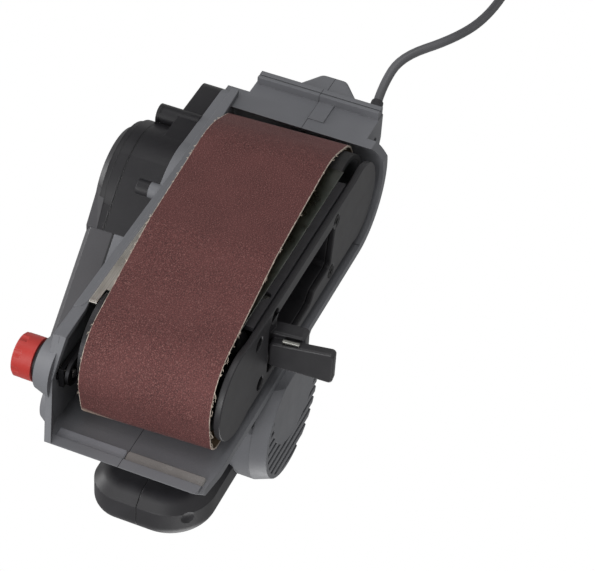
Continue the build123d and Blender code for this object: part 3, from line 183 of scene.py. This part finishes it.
class Paint:
    """A material whose nodes are added one by one; an input takes a value, a colour code or a node's socket."""

    def __init__(self, name):
        self.material = bpy.data.materials.new(name)
        self.material.use_nodes = True
        self.tree = self.material.node_tree
        self.shader = self.tree.nodes["Principled BSDF"]

    def put(self, socket, value):
        if isinstance(value, bpy.types.NodeSocket):
            self.tree.links.new(value, socket)
        else:
            socket.default_value = srgb(value) if isinstance(value, str) else value

    def node(self, kind, **inputs):
        made = self.tree.nodes.new("ShaderNode" + kind)
        for name, value in inputs.items():
            self.put(made.inputs[name.replace("_", " ")], value)
        return made

    def set(self, **inputs):
        for name, value in inputs.items():
            self.put(self.shader.inputs[name.replace("_", " ")], value)

    def place(self):
        return self.node("TexCoord").outputs["Object"]

    def along_y(self):
        return self.node("SeparateXYZ", Vector=self.place()).outputs["Y"]

    def stretched(self, scale):
        return self.node("Mapping", Vector=self.place(), Scale=scale).outputs["Vector"]

    def noise(self, size_mm, detail=3.0, roughness=0.5, vector=None):
        made = self.node(
            "TexNoise",
            Vector=vector or self.place(),
            Scale=1.0 / (MM * size_mm),
            Detail=detail,
            Roughness=roughness,
        )
        return made.outputs["Fac"]

    def lines(self, scale):
        """Fine lines: a noise that is drawn out along the axis with the smallest scale."""
        return self.node("TexNoise", Vector=self.stretched(scale), Scale=1.0, Detail=3.0).outputs["Fac"]

    def joined(self, kind, operation, first, second):
        made = self.node(kind)
        made.operation = operation
        self.put(made.inputs[0], first)
        self.put(made.inputs[1], second)
        return made

    def math(self, operation, first, second=0.0):
        return self.joined("Math", operation, first, second).outputs[0]

    def vectors(self, operation, first, second):
        return self.joined("VectorMath", operation, first, second).outputs["Vector"]

    def dot(self, first, second):
        return self.joined("VectorMath", "DOT_PRODUCT", first, second).outputs["Value"]

    def span(self, value, low, high, to_low=0.0, to_high=1.0):
        made = self.node("MapRange", Value=value, From_Min=low, From_Max=high, To_Min=to_low, To_Max=to_high)
        return made.outputs[0]

    def mix(self, factor, first, second):
        return self.node("MixRGB", Fac=factor, Color1=first, Color2=second).outputs[0]

    def bump(self, height, depth_mm, normal=None):
        made = self.node("Bump", Height=height, Distance=MM * depth_mm)
        if normal is not None:
            self.put(made.inputs["Normal"], normal)
        return made.outputs[0]

    def rounded(self, radius_mm):
        made = self.node("Bevel", Radius=MM * radius_mm)
        made.samples = 4
        return made.outputs[0]

    def edges(self, rounded_normal):
        """1 near the edges of the solid, 0 on its faces."""
        flat = self.node("NewGeometry").outputs["Normal"]
        return self.span(self.math("SUBTRACT", 1.0, self.dot(rounded_normal, flat)), 0.02, 0.25)


# Parts of a noise's range that are spread from 0 to 1
WIDE = (0.3, 0.7)
MIDDLE = (0.35, 0.65)
PEAKS = (0.45, 0.75)

CLOUD_MM = 26.0
CLOUD_SHADE = 0.14
GLOSS_MM = 9.0
DULLER = 0.08
GLOSSIER = 0.06
LINE_COLOUR = "121214"
LINE_DEPTH = 0.85
LINE_FADE = 1.5


def moulded(
    name, colour, paler, roughness, grain_mm=0.5, grain_depth=0.03, corner_mm=0.7, wear=0.35, uneven=1.0, seam_and_shade_lines=()
):
    """Moulded plastic: eroded grain, cloudy tone, uneven gloss and paler rubbed edges.

    Each dark line across Y is given by its place and half its width in millimetres; the lines draw seams between
    parts, and painted shade at steps in the moulding.
    """
    paint = Paint(name)
    cloud = paint.noise(CLOUD_MM, detail=4.0)
    speck = paint.noise(grain_mm, detail=2.0)
    corner = paint.rounded(corner_mm)
    shade = tuple((1.0 - CLOUD_SHADE * uneven) * value for value in srgb(colour)[:3]) + (1.0,)
    tone = paint.mix(paint.span(cloud, *WIDE), shade, colour)
    tone = paint.mix(paint.span(speck, *PEAKS, 0.0, 0.25), tone, paler)
    rubbed = paint.math("MULTIPLY", paint.edges(corner), paint.span(cloud, *MIDDLE, 0.3 * wear, wear))
    tone = paint.mix(rubbed, tone, paler)
    # Dark lines: seams between parts, and painted shade at steps in the moulding
    for line_y, line_half in seam_and_shade_lines:
        away = paint.math("ABSOLUTE", paint.math("SUBTRACT", paint.along_y(), MM * line_y))
        dark_line = paint.span(away, MM * line_half, LINE_FADE * MM * line_half, LINE_DEPTH, 0.0)
        tone = paint.mix(dark_line, tone, LINE_COLOUR)
    paint.set(Base_Color=tone)
    dull, gloss = roughness + DULLER * uneven, roughness - GLOSSIER * uneven
    paint.set(Roughness=paint.span(paint.noise(GLOSS_MM), *WIDE, gloss, dull))
    paint.set(Normal=paint.bump(speck, grain_depth, corner))
    return paint.material


LINES_ALONG_X = (40.0, 1500.0, 1500.0)
LINES_ALONG_Y = (1500.0, 60.0, 1500.0)
PLATEN_LINES = (60.0, 1800.0, 1800.0)


def metal(name, colour, dark, roughness, line_scale=LINES_ALONG_X):
    """Worked metal: fine lines along one direction, cloudy gloss and a few darker stains."""
    paint = Paint(name)
    lines = paint.lines(line_scale)
    stain = paint.noise(14.0, detail=5.0)
    tone = paint.mix(paint.span(stain, *PEAKS, 0.0, 0.6), colour, dark)
    tone = paint.mix(paint.span(lines, 0.35, 0.7, 0.0, 0.35), tone, dark)
    paint.set(Base_Color=tone, Metallic=1.0)
    paint.set(Roughness=paint.span(lines, *WIDE, roughness - 0.07, roughness + 0.1))
    paint.set(Normal=paint.bump(lines, 0.01, paint.rounded(0.3)))
    return paint.material


def rubbery(name, colour, paler, roughness, grain_mm=0.8):
    """Soft rubber: dull, finely pebbled, a little dusty."""
    paint = Paint(name)
    speck = paint.noise(grain_mm, detail=3.0)
    dust = paint.noise(18.0, detail=5.0)
    tone = paint.mix(paint.span(dust, 0.4, 0.75, 0.0, 0.5), colour, paler)
    tone = paint.mix(paint.span(speck, 0.5, 0.8, 0.0, 0.3), tone, paler)
    paint.set(Base_Color=tone)
    paint.set(Roughness=paint.span(dust, *WIDE, roughness - 0.05, roughness + 0.08))
    paint.set(Normal=paint.bump(speck, 0.04, paint.rounded(0.8)))
    return paint.material


# The belt in its loose, skewed place, a paler patch at its front and its frayed edges, in metres
BELT_SKEW = math.radians(2.9)
BELT_SHIFT = 0.7 * MM
BELT_HALF = 37.5 * MM
BELT_MIDDLE = (0.0, 0.0, 0.040)
CLOTH_FACING = (-0.002, -0.001)
PALE_PATCH_ACROSS = (0.002, 0.036)
PALE_PATCH_FROM_Z = (0.067, 0.059)
PALE_PATCH_TO_Z = (0.0664, 0.0682)
PALE_PATCH_FROM_X = (0.09, 0.095)
PALE_PATCH_RAGGED = 0.003
PALE_PATCH_FADE = 0.003
FRAYED_FROM = (BELT_HALF + 0.00012, BELT_HALF + 0.00042)
FRAYED_RAGGED = 0.0009


def abrasive():
    """Coated belt: red-brown grit outside, tan cloth inside, pale frayed edges."""
    paint = Paint("abrasive")
    place = paint.place()
    split = paint.node("SeparateXYZ", Vector=place)
    x, y, z = [split.outputs[axis] for axis in "XYZ"]
    grit = paint.noise(0.55, detail=2.0, roughness=0.6)
    coarse = paint.noise(0.68, detail=2.0)
    cloud = paint.noise(22.0, detail=5.0)
    tone = paint.mix(paint.span(grit, 0.36, 0.62), "371919", "643533")
    tone = paint.mix(paint.span(coarse, 0.54, 0.7, 0.0, 0.58), tone, "9a6c66")
    tone = paint.mix(paint.span(cloud, 0.35, 0.7, 0.0, 0.3), tone, "6c3e3c")

    # A paler patch at the front, over a ragged border that slants across the belt
    ragged = paint.math("ADD", z, paint.math("MULTIPLY", coarse, PALE_PATCH_RAGGED))
    over_border = paint.math("SUBTRACT", ragged, paint.span(y, *PALE_PATCH_ACROSS, *PALE_PATCH_FROM_Z))
    paler = paint.math("MULTIPLY", paint.span(over_border, 0.0, PALE_PATCH_FADE), paint.span(x, *PALE_PATCH_FROM_X))
    paler = paint.math("MULTIPLY", paler, paint.span(z, *PALE_PATCH_TO_Z, 1.0, 0.0))
    tone = paint.mix(paler, tone, paint.mix(grit, "8a7468", "b3a294"))

    # Cloth where the surface faces the middle of the loop
    thread = paint.noise(0.35, detail=1.0, vector=paint.stretched((1.0, 0.25, 1.0)))
    cloth = paint.mix(paint.span(thread, *MIDDLE), "6e5a45", "9a8468")
    level = paint.vectors("MULTIPLY", paint.vectors("SUBTRACT", place, BELT_MIDDLE), (1.0, 0.0, 1.0))
    facing = paint.dot(level, paint.node("NewGeometry").outputs["True Normal"])
    tone = paint.mix(paint.span(facing, *CLOTH_FACING, 1.0, 0.0), tone, cloth)

    # Pale fibres at the cut edges
    skewed = paint.math("MULTIPLY", x, math.sin(BELT_SKEW))
    from_middle = paint.math("MULTIPLY", paint.math("SUBTRACT", y, BELT_SHIFT), math.cos(BELT_SKEW))
    across = paint.math("ABSOLUTE", paint.math("ADD", skewed, from_middle))
    frayed = paint.math("ADD", across, paint.math("MULTIPLY", paint.noise(2.2, detail=4.0), FRAYED_RAGGED))
    tone = paint.mix(paint.span(frayed, *FRAYED_FROM), tone, "c9bcae")
    paint.set(Base_Color=tone, Roughness=0.82, Sheen_Weight=0.05, Sheen_Roughness=0.45)
    paint.set(Normal=paint.bump(grit, 0.12))
    return paint.material


SHADED_TO_BRIGHT_Y = (0.0, 0.03)


def platen_sheet():
    """Ground steel sheet, coloured dark on its right as painted shade and a painted reflection of the belt, and
    bright on its left edge.
    """
    paint = Paint("platen_steel")
    lines = paint.lines(PLATEN_LINES)
    stain = paint.noise(16.0, detail=5.0)
    corner = paint.rounded(0.35)
    bright = paint.mix(paint.span(lines, *WIDE), "d2cdc4", "efece6")
    # Painted shade and painted reflection: the right of the sheet is coloured dark for the shade under the belt
    # and the belt's dark backing reflected in it
    shaded_side = paint.mix(paint.span(stain, *MIDDLE), "767e79", "929994")
    tone = paint.mix(paint.span(paint.along_y(), *SHADED_TO_BRIGHT_Y), shaded_side, bright)
    tone = paint.mix(paint.math("MULTIPLY", paint.edges(corner), 0.8), tone, "c4c4be")
    paint.set(Base_Color=tone, Metallic=1.0)
    paint.set(Roughness=paint.span(stain, *WIDE, 0.24, 0.38))
    paint.set(Normal=paint.bump(lines, 0.006, corner))
    return paint.material


HOUSING_SEAMS = [(0.0, 0.14)]
# Dark lines on the drum: the seam between case and cover at 78.6 mm, and painted shade at its two ring steps at
# 85.3 and 88.8 mm
DRUM_SEAMS_AND_STEP_SHADE = [(78.6, 0.55), (85.3, 0.42), (88.8, 0.42)]
COVER_SEAMS = [(72.1, 0.55)]

materials = {
    "housing_gray": moulded("housing_gray", "6a6b6f", "7c7d82", 0.5, wear=0.25, uneven=0.6, seam_and_shade_lines=HOUSING_SEAMS),
    "black_plastic": moulded("black_plastic", "252427", "3d3c40", 0.42, grain_mm=0.4),
    "dark_plastic": moulded("dark_plastic", "403f42", "555458", 0.42),
    "soft_grip": rubbery("soft_grip", "1f1e21", "302f33", 0.46),
    "cord_rubber": rubbery("cord_rubber", "505053", "5b5b5e", 0.44, grain_mm=0.3),
    "red_plastic": moulded("red_plastic", "b02d27", "cf5a51", 0.34, grain_depth=0.01),
    "abrasive": abrasive(),
    "dark_steel": metal("dark_steel", "3a3a3c", "262628", 0.42),
    "steel": metal("steel", "c9c8c2", "98978f", 0.3),
    "aluminium": metal("aluminium", "b4b5b6", "8d8e90", 0.42, LINES_ALONG_Y),
    "roller_rubber": rubbery("roller_rubber", "232324", "3c3b3a", 0.7),
    "brass": metal("brass", "c9a45a", "94763c", 0.3),
}
drum_plastic = moulded("drum_plastic", "1e1d20", "343337", 0.4, grain_mm=0.4, uneven=0.35, seam_and_shade_lines=DRUM_SEAMS_AND_STEP_SHADE)
cover_plastic = moulded("cover_plastic", "403f42", "555458", 0.42, uneven=0.35, seam_and_shade_lines=COVER_SEAMS)
own_looks = {
    "platen": platen_sheet(),
    # The frame screws are coloured near black, as dark as the holes they sit in
    "frame_screws": metal("near_black_steel", "181819", "101011", 0.5),
    "cover_screws": materials["dark_steel"],
    "lever_clip": metal("clip_steel", "8d8d89", "6b6b67", 0.34),
    "idler_roller": metal("dark_aluminium", "4c4c4e", "363638", 0.5, LINES_ALONG_Y),
    "drive_cover": drum_plastic,
    "drive_case": drum_plastic,
    "pulley_cover": cover_plastic,
}
for part in frame["record"]["subparts"]:
    shell = nodes[part["node"]]
    shell.data.materials.clear()
    shell.data.materials.append(own_looks.get(part["node"], materials[part["material_slot"]]))
mains_cord.data.materials.append(materials["cord_rubber"])


def add_piece(name, mesh, material, slot):
    """A piece of the housing that only the scene has."""
    made = linked(name, mesh)
    mesh.materials.clear()
    mesh.materials.append(material)
    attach(made, "housing")
    return made


# Side panel of the belt frame: its ends fill the belt's loop, with the lever window and five screw holes
PANEL_OUT_Y = -48.0
PANEL_IN_Y = -44.2
PANEL_EDGE = 0.7
PANEL_EDGE_STEPS = 3
PANEL_LOW_Z = 14.3
PANEL_HIGH_Z = 64.3
AXLE_Z = 39.3
REAR_END = (-85.6, AXLE_Z, 26.2)
REAR_SWEEP = 90.0
REAR_STEPS = 48
FRONT_END = (85.3, AXLE_Z, 27.0)
FRONT_SWEEP = 98.0
FRONT_STEPS = 56
FLARE_RUN = 9.0
HOLE_RADIUS = 4.35
HOLE_SIDES = 24
HOLES = [(-48.6, 22.3), (-45.6, 58.3), (40.0, 20.8), (61.0, 24.3), (57.0, 57.3)]
WINDOW = [(-47.6, 23.0), (47.8, 23.0), (47.8, 59.0), (-14.0, 59.0), (-20.0, 53.0), (-43.6, 53.0)]
WINDOW_ROUND = 3.0
WINDOW_STEPS = 6
SHARP_ANGLE = math.radians(35)


def arc(centre_x, centre_z, radius, start, end, steps):
    angles = [math.radians(start + (end - start) * index / steps) for index in range(steps + 1)]
    return [(centre_x + radius * math.cos(angle), centre_z + radius * math.sin(angle)) for angle in angles]


def rounded_outline(points, radius, steps):
    """The closed outline with each corner rounded by an arc."""
    made = []
    for before, here, after in zip(points[-1:] + points[:-1], points, points[1:] + points[:1]):
        corner = Vector(here)
        back = (Vector(before) - corner).normalized()
        ahead = (Vector(after) - corner).normalized()
        half = back.angle(ahead) / 2
        centre = corner + (back + ahead).normalized() * radius / math.sin(half)
        first = corner + back * radius / math.tan(half) - centre
        last = corner + ahead * radius / math.tan(half) - centre
        for index in range(steps + 1):
            spoke = first.lerp(last, index / steps)
            made.append(tuple(centre + spoke.normalized() * radius))
    return made


def panel_mesh(name, outlines):
    """A plate on the XZ plane with rounded edges; the outlines after the first are its holes."""
    curve = bpy.data.curves.new(name, "CURVE")
    curve.dimensions = "2D"
    curve.fill_mode = "BOTH"
    curve.bevel_depth = MM * PANEL_EDGE
    curve.bevel_resolution = PANEL_EDGE_STEPS
    curve.offset = -MM * PANEL_EDGE
    curve.extrude = MM * ((PANEL_IN_Y - PANEL_OUT_Y) / 2 - PANEL_EDGE)
    for outline in outlines:
        line = curve.splines.new("POLY")
        line.points.add(len(outline) - 1)
        for point, (x, z) in zip(line.points, outline):
            point.co = (MM * x, MM * z, 0.0, 1.0)
        line.use_cyclic_u = True
    drawn = bpy.data.objects.new(name, curve)
    mesh = bpy.data.meshes.new_from_object(drawn)
    bpy.data.objects.remove(drawn)
    bpy.data.curves.remove(curve)
    upright = Matrix.Rotation(math.pi / 2, 4, "X")
    mesh.transform(Matrix.Translation((0.0, MM * (PANEL_OUT_Y + PANEL_IN_Y) / 2, 0.0)) @ upright)
    for face in mesh.polygons:
        face.use_smooth = True
    mesh.set_sharp_from_angle(angle=SHARP_ANGLE)
    return mesh


rear_end = arc(*REAR_END, 180 - REAR_SWEEP, 180 + REAR_SWEEP, REAR_STEPS)
front_end = arc(*FRONT_END, -FRONT_SWEEP, FRONT_SWEEP, FRONT_STEPS)
panel_outline = [
    *rear_end,
    (rear_end[-1][0] + FLARE_RUN, PANEL_LOW_Z),
    (front_end[0][0] - FLARE_RUN, PANEL_LOW_Z),
    *front_end,
    (front_end[-1][0] - FLARE_RUN, PANEL_HIGH_Z),
    (rear_end[0][0] + FLARE_RUN, PANEL_HIGH_Z),
]
panel_outlines = [panel_outline, rounded_outline(WINDOW, WINDOW_ROUND, WINDOW_STEPS)]
panel_outlines += [arc(x, z, HOLE_RADIUS, 0, 360 - 360 / HOLE_SIDES, HOLE_SIDES - 1) for x, z in HOLES]
frame_plastic = moulded("frame_plastic", "1f1e21", "2d2c2f", 0.46, grain_mm=0.4, wear=0.15, uneven=0.25)
frame_panel = add_piece("frame_panel", panel_mesh("frame_panel", panel_outlines), frame_plastic, "black_plastic")
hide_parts("side_frame")


def ring_mesh(name, rings):
    """A closed solid through outlines that have the same number of corners."""
    count = len(rings[0])
    last = count * (len(rings) - 1)
    faces = [tuple(range(count)), tuple(reversed(range(last, last + count)))]
    for low in range(0, last, count):
        high = low + count
        for index in range(count):
            after = (index + 1) % count
            faces.append((low + after, low + index, high + index, high + after))
    mesh = bpy.data.meshes.new(name)
    mesh.from_pydata([tuple(MM * value for value in point) for ring in rings for point in ring], [], faces)
    return mesh


# Strips inside the rim of the nose, one on each half of the housing
STRIP_SECTION = [(122.0, 71.85), (122.0, 70.7), (122.5, 70.3), (128.3, 71.3), (129.1, 71.85)]
STRIP_ENDS = {"left": (0.2, 41.0), "right": (-46.0, -0.2)}
STRIP_TAPER = 0.8
STRIP_END_SHARE = 0.6


def strip_rings(low_y, high_y):
    """Outlines of a bar along Y that is drawn in at both ends."""
    middle_x = sum(x for x, z in STRIP_SECTION) / len(STRIP_SECTION)
    top_z = max(z for x, z in STRIP_SECTION)
    places = [low_y, low_y + STRIP_TAPER, high_y - STRIP_TAPER, high_y]
    shares = [STRIP_END_SHARE, 1.0, 1.0, STRIP_END_SHARE]
    return [
        [(middle_x + share * (x - middle_x), y, top_z + share * (z - top_z)) for x, z in STRIP_SECTION]
        for y, share in zip(places, shares)
    ]


# Both strips are coloured paler than the housing grey as painted light; the right one's brownish tone is a
# painted reflection
rim_plastics = {
    "left": moulded("rim_plastic", "707176", "8b8c91", 0.36, corner_mm=0.3),
    "right": moulded("reflection_painted_plastic", "757270", "938e88", 0.24, corner_mm=0.3),
}
for half, ends in STRIP_ENDS.items():
    name = f"nose_strip_{half}"
    add_piece(name, ring_mesh(name, strip_rings(*ends)), rim_plastics[half], "housing_gray")


# Left side: a sill and a ledge along the foot of the wall beside the belt, the wall's thicker rim by the nose in
# three pieces, and the gussets between the pulley cover and the drum
SILL_OUTLINE = [
    (-122.0, 49.8),
    (-122.0, 45.3),
    (-100.0, 44.1),
    (-79.0, 43.5),
    (82.0, 43.5),
    (88.0, 45.6),
    (88.0, 49.4),
    (-51.0, 49.4),
    (-53.0, 49.8),
]
SILL_HEIGHT = (12.48, 15.5)
LEDGE_OUTLINE = [(-79.0, 46.0), (-79.0, 43.5), (82.0, 43.5), (87.0, 45.4), (87.0, 46.0)]
LEDGE_HEIGHT = (12.1, 13.2)
CHEEK_RINGS = [
    [(80.0, 45.8, 12.45), (80.0, 43.4, 12.45), (80.0, 43.4, 15.5), (80.0, 45.8, 15.5)],
    [(88.0, 48.0, 12.45), (88.0, 42.2, 12.45), (88.0, 42.2, 15.5), (88.0, 48.0, 15.5)],
    [(111.6, 48.0, 12.9), (111.6, 41.8, 12.9), (109.0, 41.8, 16.2), (109.0, 48.0, 16.2)],
    [(122.4, 46.5, 36.5), (122.4, 45.1, 36.5), (119.8, 45.1, 37.5), (119.8, 46.5, 37.5)],
]
COVER_GUSSET_RINGS = [
    [(-7.0, 89.5, 45.8), (-7.0, 82.6, 45.8), (-7.0, 82.6, 58.0), (-7.0, 89.5, 58.0)],
    [(-28.5, 92.6, 33.4), (-28.5, 87.0, 34.2), (-31.0, 87.0, 41.0), (-31.0, 91.5, 40.0)],
]
DRUM_GUSSET_RINGS = [
    [(-7.0, 83.6, 46.1), (-7.0, 77.0, 46.1), (-7.0, 77.0, 57.0), (-7.0, 83.6, 57.0)],
    [(-28.5, 88.0, 34.4), (-28.5, 77.0, 34.8), (-31.0, 77.0, 41.0), (-31.0, 88.0, 41.0)],
]
BEVEL_WIDTH = 0.15 * MM
BEVEL_STEPS = 2


def flat_rings(outline, heights):
    return [[(x, y, z) for x, y in outline] for z in heights]


def bevelled_mesh(name, rings):
    """A closed solid through the outlines, with narrow bevels on its edges."""
    mesh = ring_mesh(name, rings)
    solid = bmesh.new()
    solid.from_mesh(mesh)
    bmesh.ops.recalc_face_normals(solid, faces=solid.faces)
    bmesh.ops.bevel(
        solid,
        geom=solid.edges[:],
        offset=BEVEL_WIDTH,
        segments=BEVEL_STEPS,
        affect="EDGES",
        profile=0.5,
        clamp_overlap=True,
    )
    solid.to_mesh(mesh)
    solid.free()
    return mesh


for name, rings, plastic, slot in (
    ("left_sill", flat_rings(SILL_OUTLINE, SILL_HEIGHT), materials["housing_gray"], "housing_gray"),
    ("left_ledge", flat_rings(LEDGE_OUTLINE, LEDGE_HEIGHT), materials["housing_gray"], "housing_gray"),
    ("cover_gusset", COVER_GUSSET_RINGS, cover_plastic, "dark_plastic"),
    ("left_cheek_rear", CHEEK_RINGS[0:2], materials["housing_gray"], "housing_gray"),
    ("left_cheek_low", CHEEK_RINGS[1:3], materials["housing_gray"], "housing_gray"),
    ("left_cheek_front", CHEEK_RINGS[2:4], materials["housing_gray"], "housing_gray"),
    ("drum_gusset", DRUM_GUSSET_RINGS, drum_plastic, "black_plastic"),
):
    add_piece(name, bevelled_mesh(name, rings), plastic, slot)


# Loose cotton threads along both cut edges of the belt, with longer ones at the front of the right edge
FRAY_SEED = 11
FRAY_RADIUS = 0.09 * MM
FRAY_ROUNDNESS = 1
FRAY_STEPS = 3
CUT_EDGE_DEPTH = 0.1 * MM
ROOT_DEPTH = 0.1
TUFTS = 64
TUFT_STRANDS = (2, 5)
TUFT_REACH = (0.3, 1.1)
TUFT_LEAN = (0.2, 1.8)
TUFT_SPREAD = (-0.4, 0.4)
LONG_FROM_X = 0.088
LONG_TUFTS = 6
LONG_STRANDS = 3
LONG_LEAN = (2.0, 4.5)
LONG_SPREAD = (-0.5, 0.5)
LONG_BOW = (0.8, 1.6)
LONG_REACH = (0.3, 1.8)
ACROSS = Vector((math.sin(BELT_SKEW), math.cos(BELT_SKEW), 0.0))


def cut_edges(side):
    """Runs of the belt's mesh along one of its cut edges, as pairs of points."""
    mesh = nodes["sanding_belt"].data
    runs = []
    for edge in mesh.edges:
        ends = [mesh.vertices[index].co.copy() for index in edge.vertices]
        reach = [side * (ACROSS.dot(end) - BELT_SHIFT * math.cos(BELT_SKEW)) for end in ends]
        if min(reach) > BELT_HALF - CUT_EDGE_DEPTH:
            runs.append(ends)
    return runs


def tufts(runs, count):
    """The root of each tuft on the runs, and the way along the edge in which it leans."""
    lengths = [(end - start).length for start, end in runs]
    for start, end in chance.choices(runs, weights=lengths, k=count):
        root = start.lerp(end, chance.random())
        yield root, (end - start).normalized() * chance.choice((-1, 1))


def cotton():
    paint = Paint("cotton_thread")
    fibre = paint.noise(0.6, detail=3.0)
    paint.set(Base_Color=paint.mix(paint.span(fibre, *MIDDLE), "9c8f82", "d6cabc"), Roughness=0.9)
    return paint.material


chance = random.Random(FRAY_SEED)
fray_curve = tube_curve("belt_fray", FRAY_ROUNDNESS)
for side in (-1, 1):
    out = ACROSS * side
    for root, along in tufts(cut_edges(side), TUFTS):
        for _ in range(chance.randint(*TUFT_STRANDS)):
            reach = MM * chance.uniform(*TUFT_REACH)
            lean = MM * chance.uniform(*TUFT_LEAN)
            begin = root + along * MM * chance.uniform(*TUFT_SPREAD) - out * MM * ROOT_DEPTH
            middle = begin + out * reach * 0.8 + along * lean * 0.3
            tip = begin + out * reach + along * lean
            add_tube(fray_curve, [begin, middle, tip], FRAY_RADIUS, FRAY_STEPS)
front_runs = [ends for ends in cut_edges(-1) if min(end.x for end in ends) > LONG_FROM_X]
for root, along in tufts(front_runs, LONG_TUFTS):
    for _ in range(LONG_STRANDS):
        lean = MM * chance.uniform(*LONG_LEAN)
        begin = root + along * MM * chance.uniform(*LONG_SPREAD) + ACROSS * MM * ROOT_DEPTH
        middle = begin - ACROSS * MM * chance.uniform(*LONG_BOW) + along * lean * 0.4
        tip = begin - ACROSS * MM * chance.uniform(*LONG_REACH) + along * lean
        add_tube(fray_curve, [begin, middle, tip], FRAY_RADIUS, FRAY_STEPS)
belt_fray = linked("belt_fray", fray_curve)
belt_fray.data.materials.append(cotton())
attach(belt_fray, "sanding_belt")


# Floor: seen from above only, so that the camera under it looks through
FLOOR_HALF = 3.0
FLOOR_Z = -0.0002
floor_corners = [
    (-FLOOR_HALF, -FLOOR_HALF, FLOOR_Z),
    (FLOOR_HALF, -FLOOR_HALF, FLOOR_Z),
    (FLOOR_HALF, FLOOR_HALF, FLOOR_Z),
    (-FLOOR_HALF, FLOOR_HALF, FLOOR_Z),
]
floor_mesh = bpy.data.meshes.new("floor")
floor_mesh.from_pydata(floor_corners, [], [(0, 1, 2, 3)])
floor = linked("floor", floor_mesh)
pale = Paint("pale_floor")
pale.set(Base_Color=pale.mix(pale.noise(60.0), "f2f2f1", "f7f7f6"), Roughness=0.9)
path = pale.node("LightPath")
seen = pale.math("MAXIMUM", path.outputs["Is Camera Ray"], path.outputs["Is Glossy Ray"])
seen = pale.math("MAXIMUM", seen, path.outputs["Is Transmission Ray"])
front = pale.math("SUBTRACT", 1.0, pale.node("NewGeometry").outputs["Backfacing"])
clear = pale.node("BsdfTransparent")
blend = pale.node("MixShader", Fac=pale.math("MULTIPLY", seen, front))
pale.put(blend.inputs[1], clear.outputs[0])
pale.put(blend.inputs[2], pale.shader.outputs[0])
pale.put(pale.tree.nodes["Material Output"].inputs["Surface"], blend.outputs[0])
floor_mesh.materials.append(pale.material)


# Light: a white surround and large soft lamps
AMBIENT = 0.37
LAMP_TARGET = Vector((0.0, 0.0, 0.06))
LAMPS = {
    "below": ((0.0, 0.0, -1.7), 1.1, 10.6),
    "front_low": ((1.3, 0.8, -0.7), 1.1, 7.5),
    "front": ((1.6, 0.0, -0.26), 0.46, 10.5),
    "left_side": ((0.2, 1.7, -0.26), 0.46, 12.0),
    "top": ((0.2, -0.4, 1.7), 1.2, 11.0),
}

world = bpy.data.worlds.new("surround")
scene.world = world
world.use_nodes = True
sky = world.node_tree
ground = sky.nodes["Background"]
rays = sky.nodes.new("ShaderNodeLightPath")
lit = sky.nodes.new("ShaderNodeMath")
lit.operation = "MAXIMUM"
sky.links.new(rays.outputs["Is Camera Ray"], lit.inputs[0])
sky.links.new(rays.outputs["Is Transmission Ray"], lit.inputs[1])
level = sky.nodes.new("ShaderNodeMapRange")
sky.links.new(lit.outputs[0], level.inputs["Value"])
level.inputs["To Min"].default_value = AMBIENT
level.inputs["To Max"].default_value = 1.0
sky.links.new(level.outputs[0], ground.inputs["Strength"])
ground.inputs["Color"].default_value = (1.0, 1.0, 1.0, 1.0)

for name, (place, width, watts) in LAMPS.items():
    lamp_data = bpy.data.lights.new(name, "AREA")
    lamp_data.shape = "DISK"
    lamp_data.size = width
    lamp_data.energy = watts
    lamp = linked(name, lamp_data)
    lamp.location = place
    lamp.rotation_mode = "QUATERNION"
    lamp.rotation_quaternion = (LAMP_TARGET - Vector(place)).to_track_quat("-Z", "Y")

bpy.context.view_layer.update()
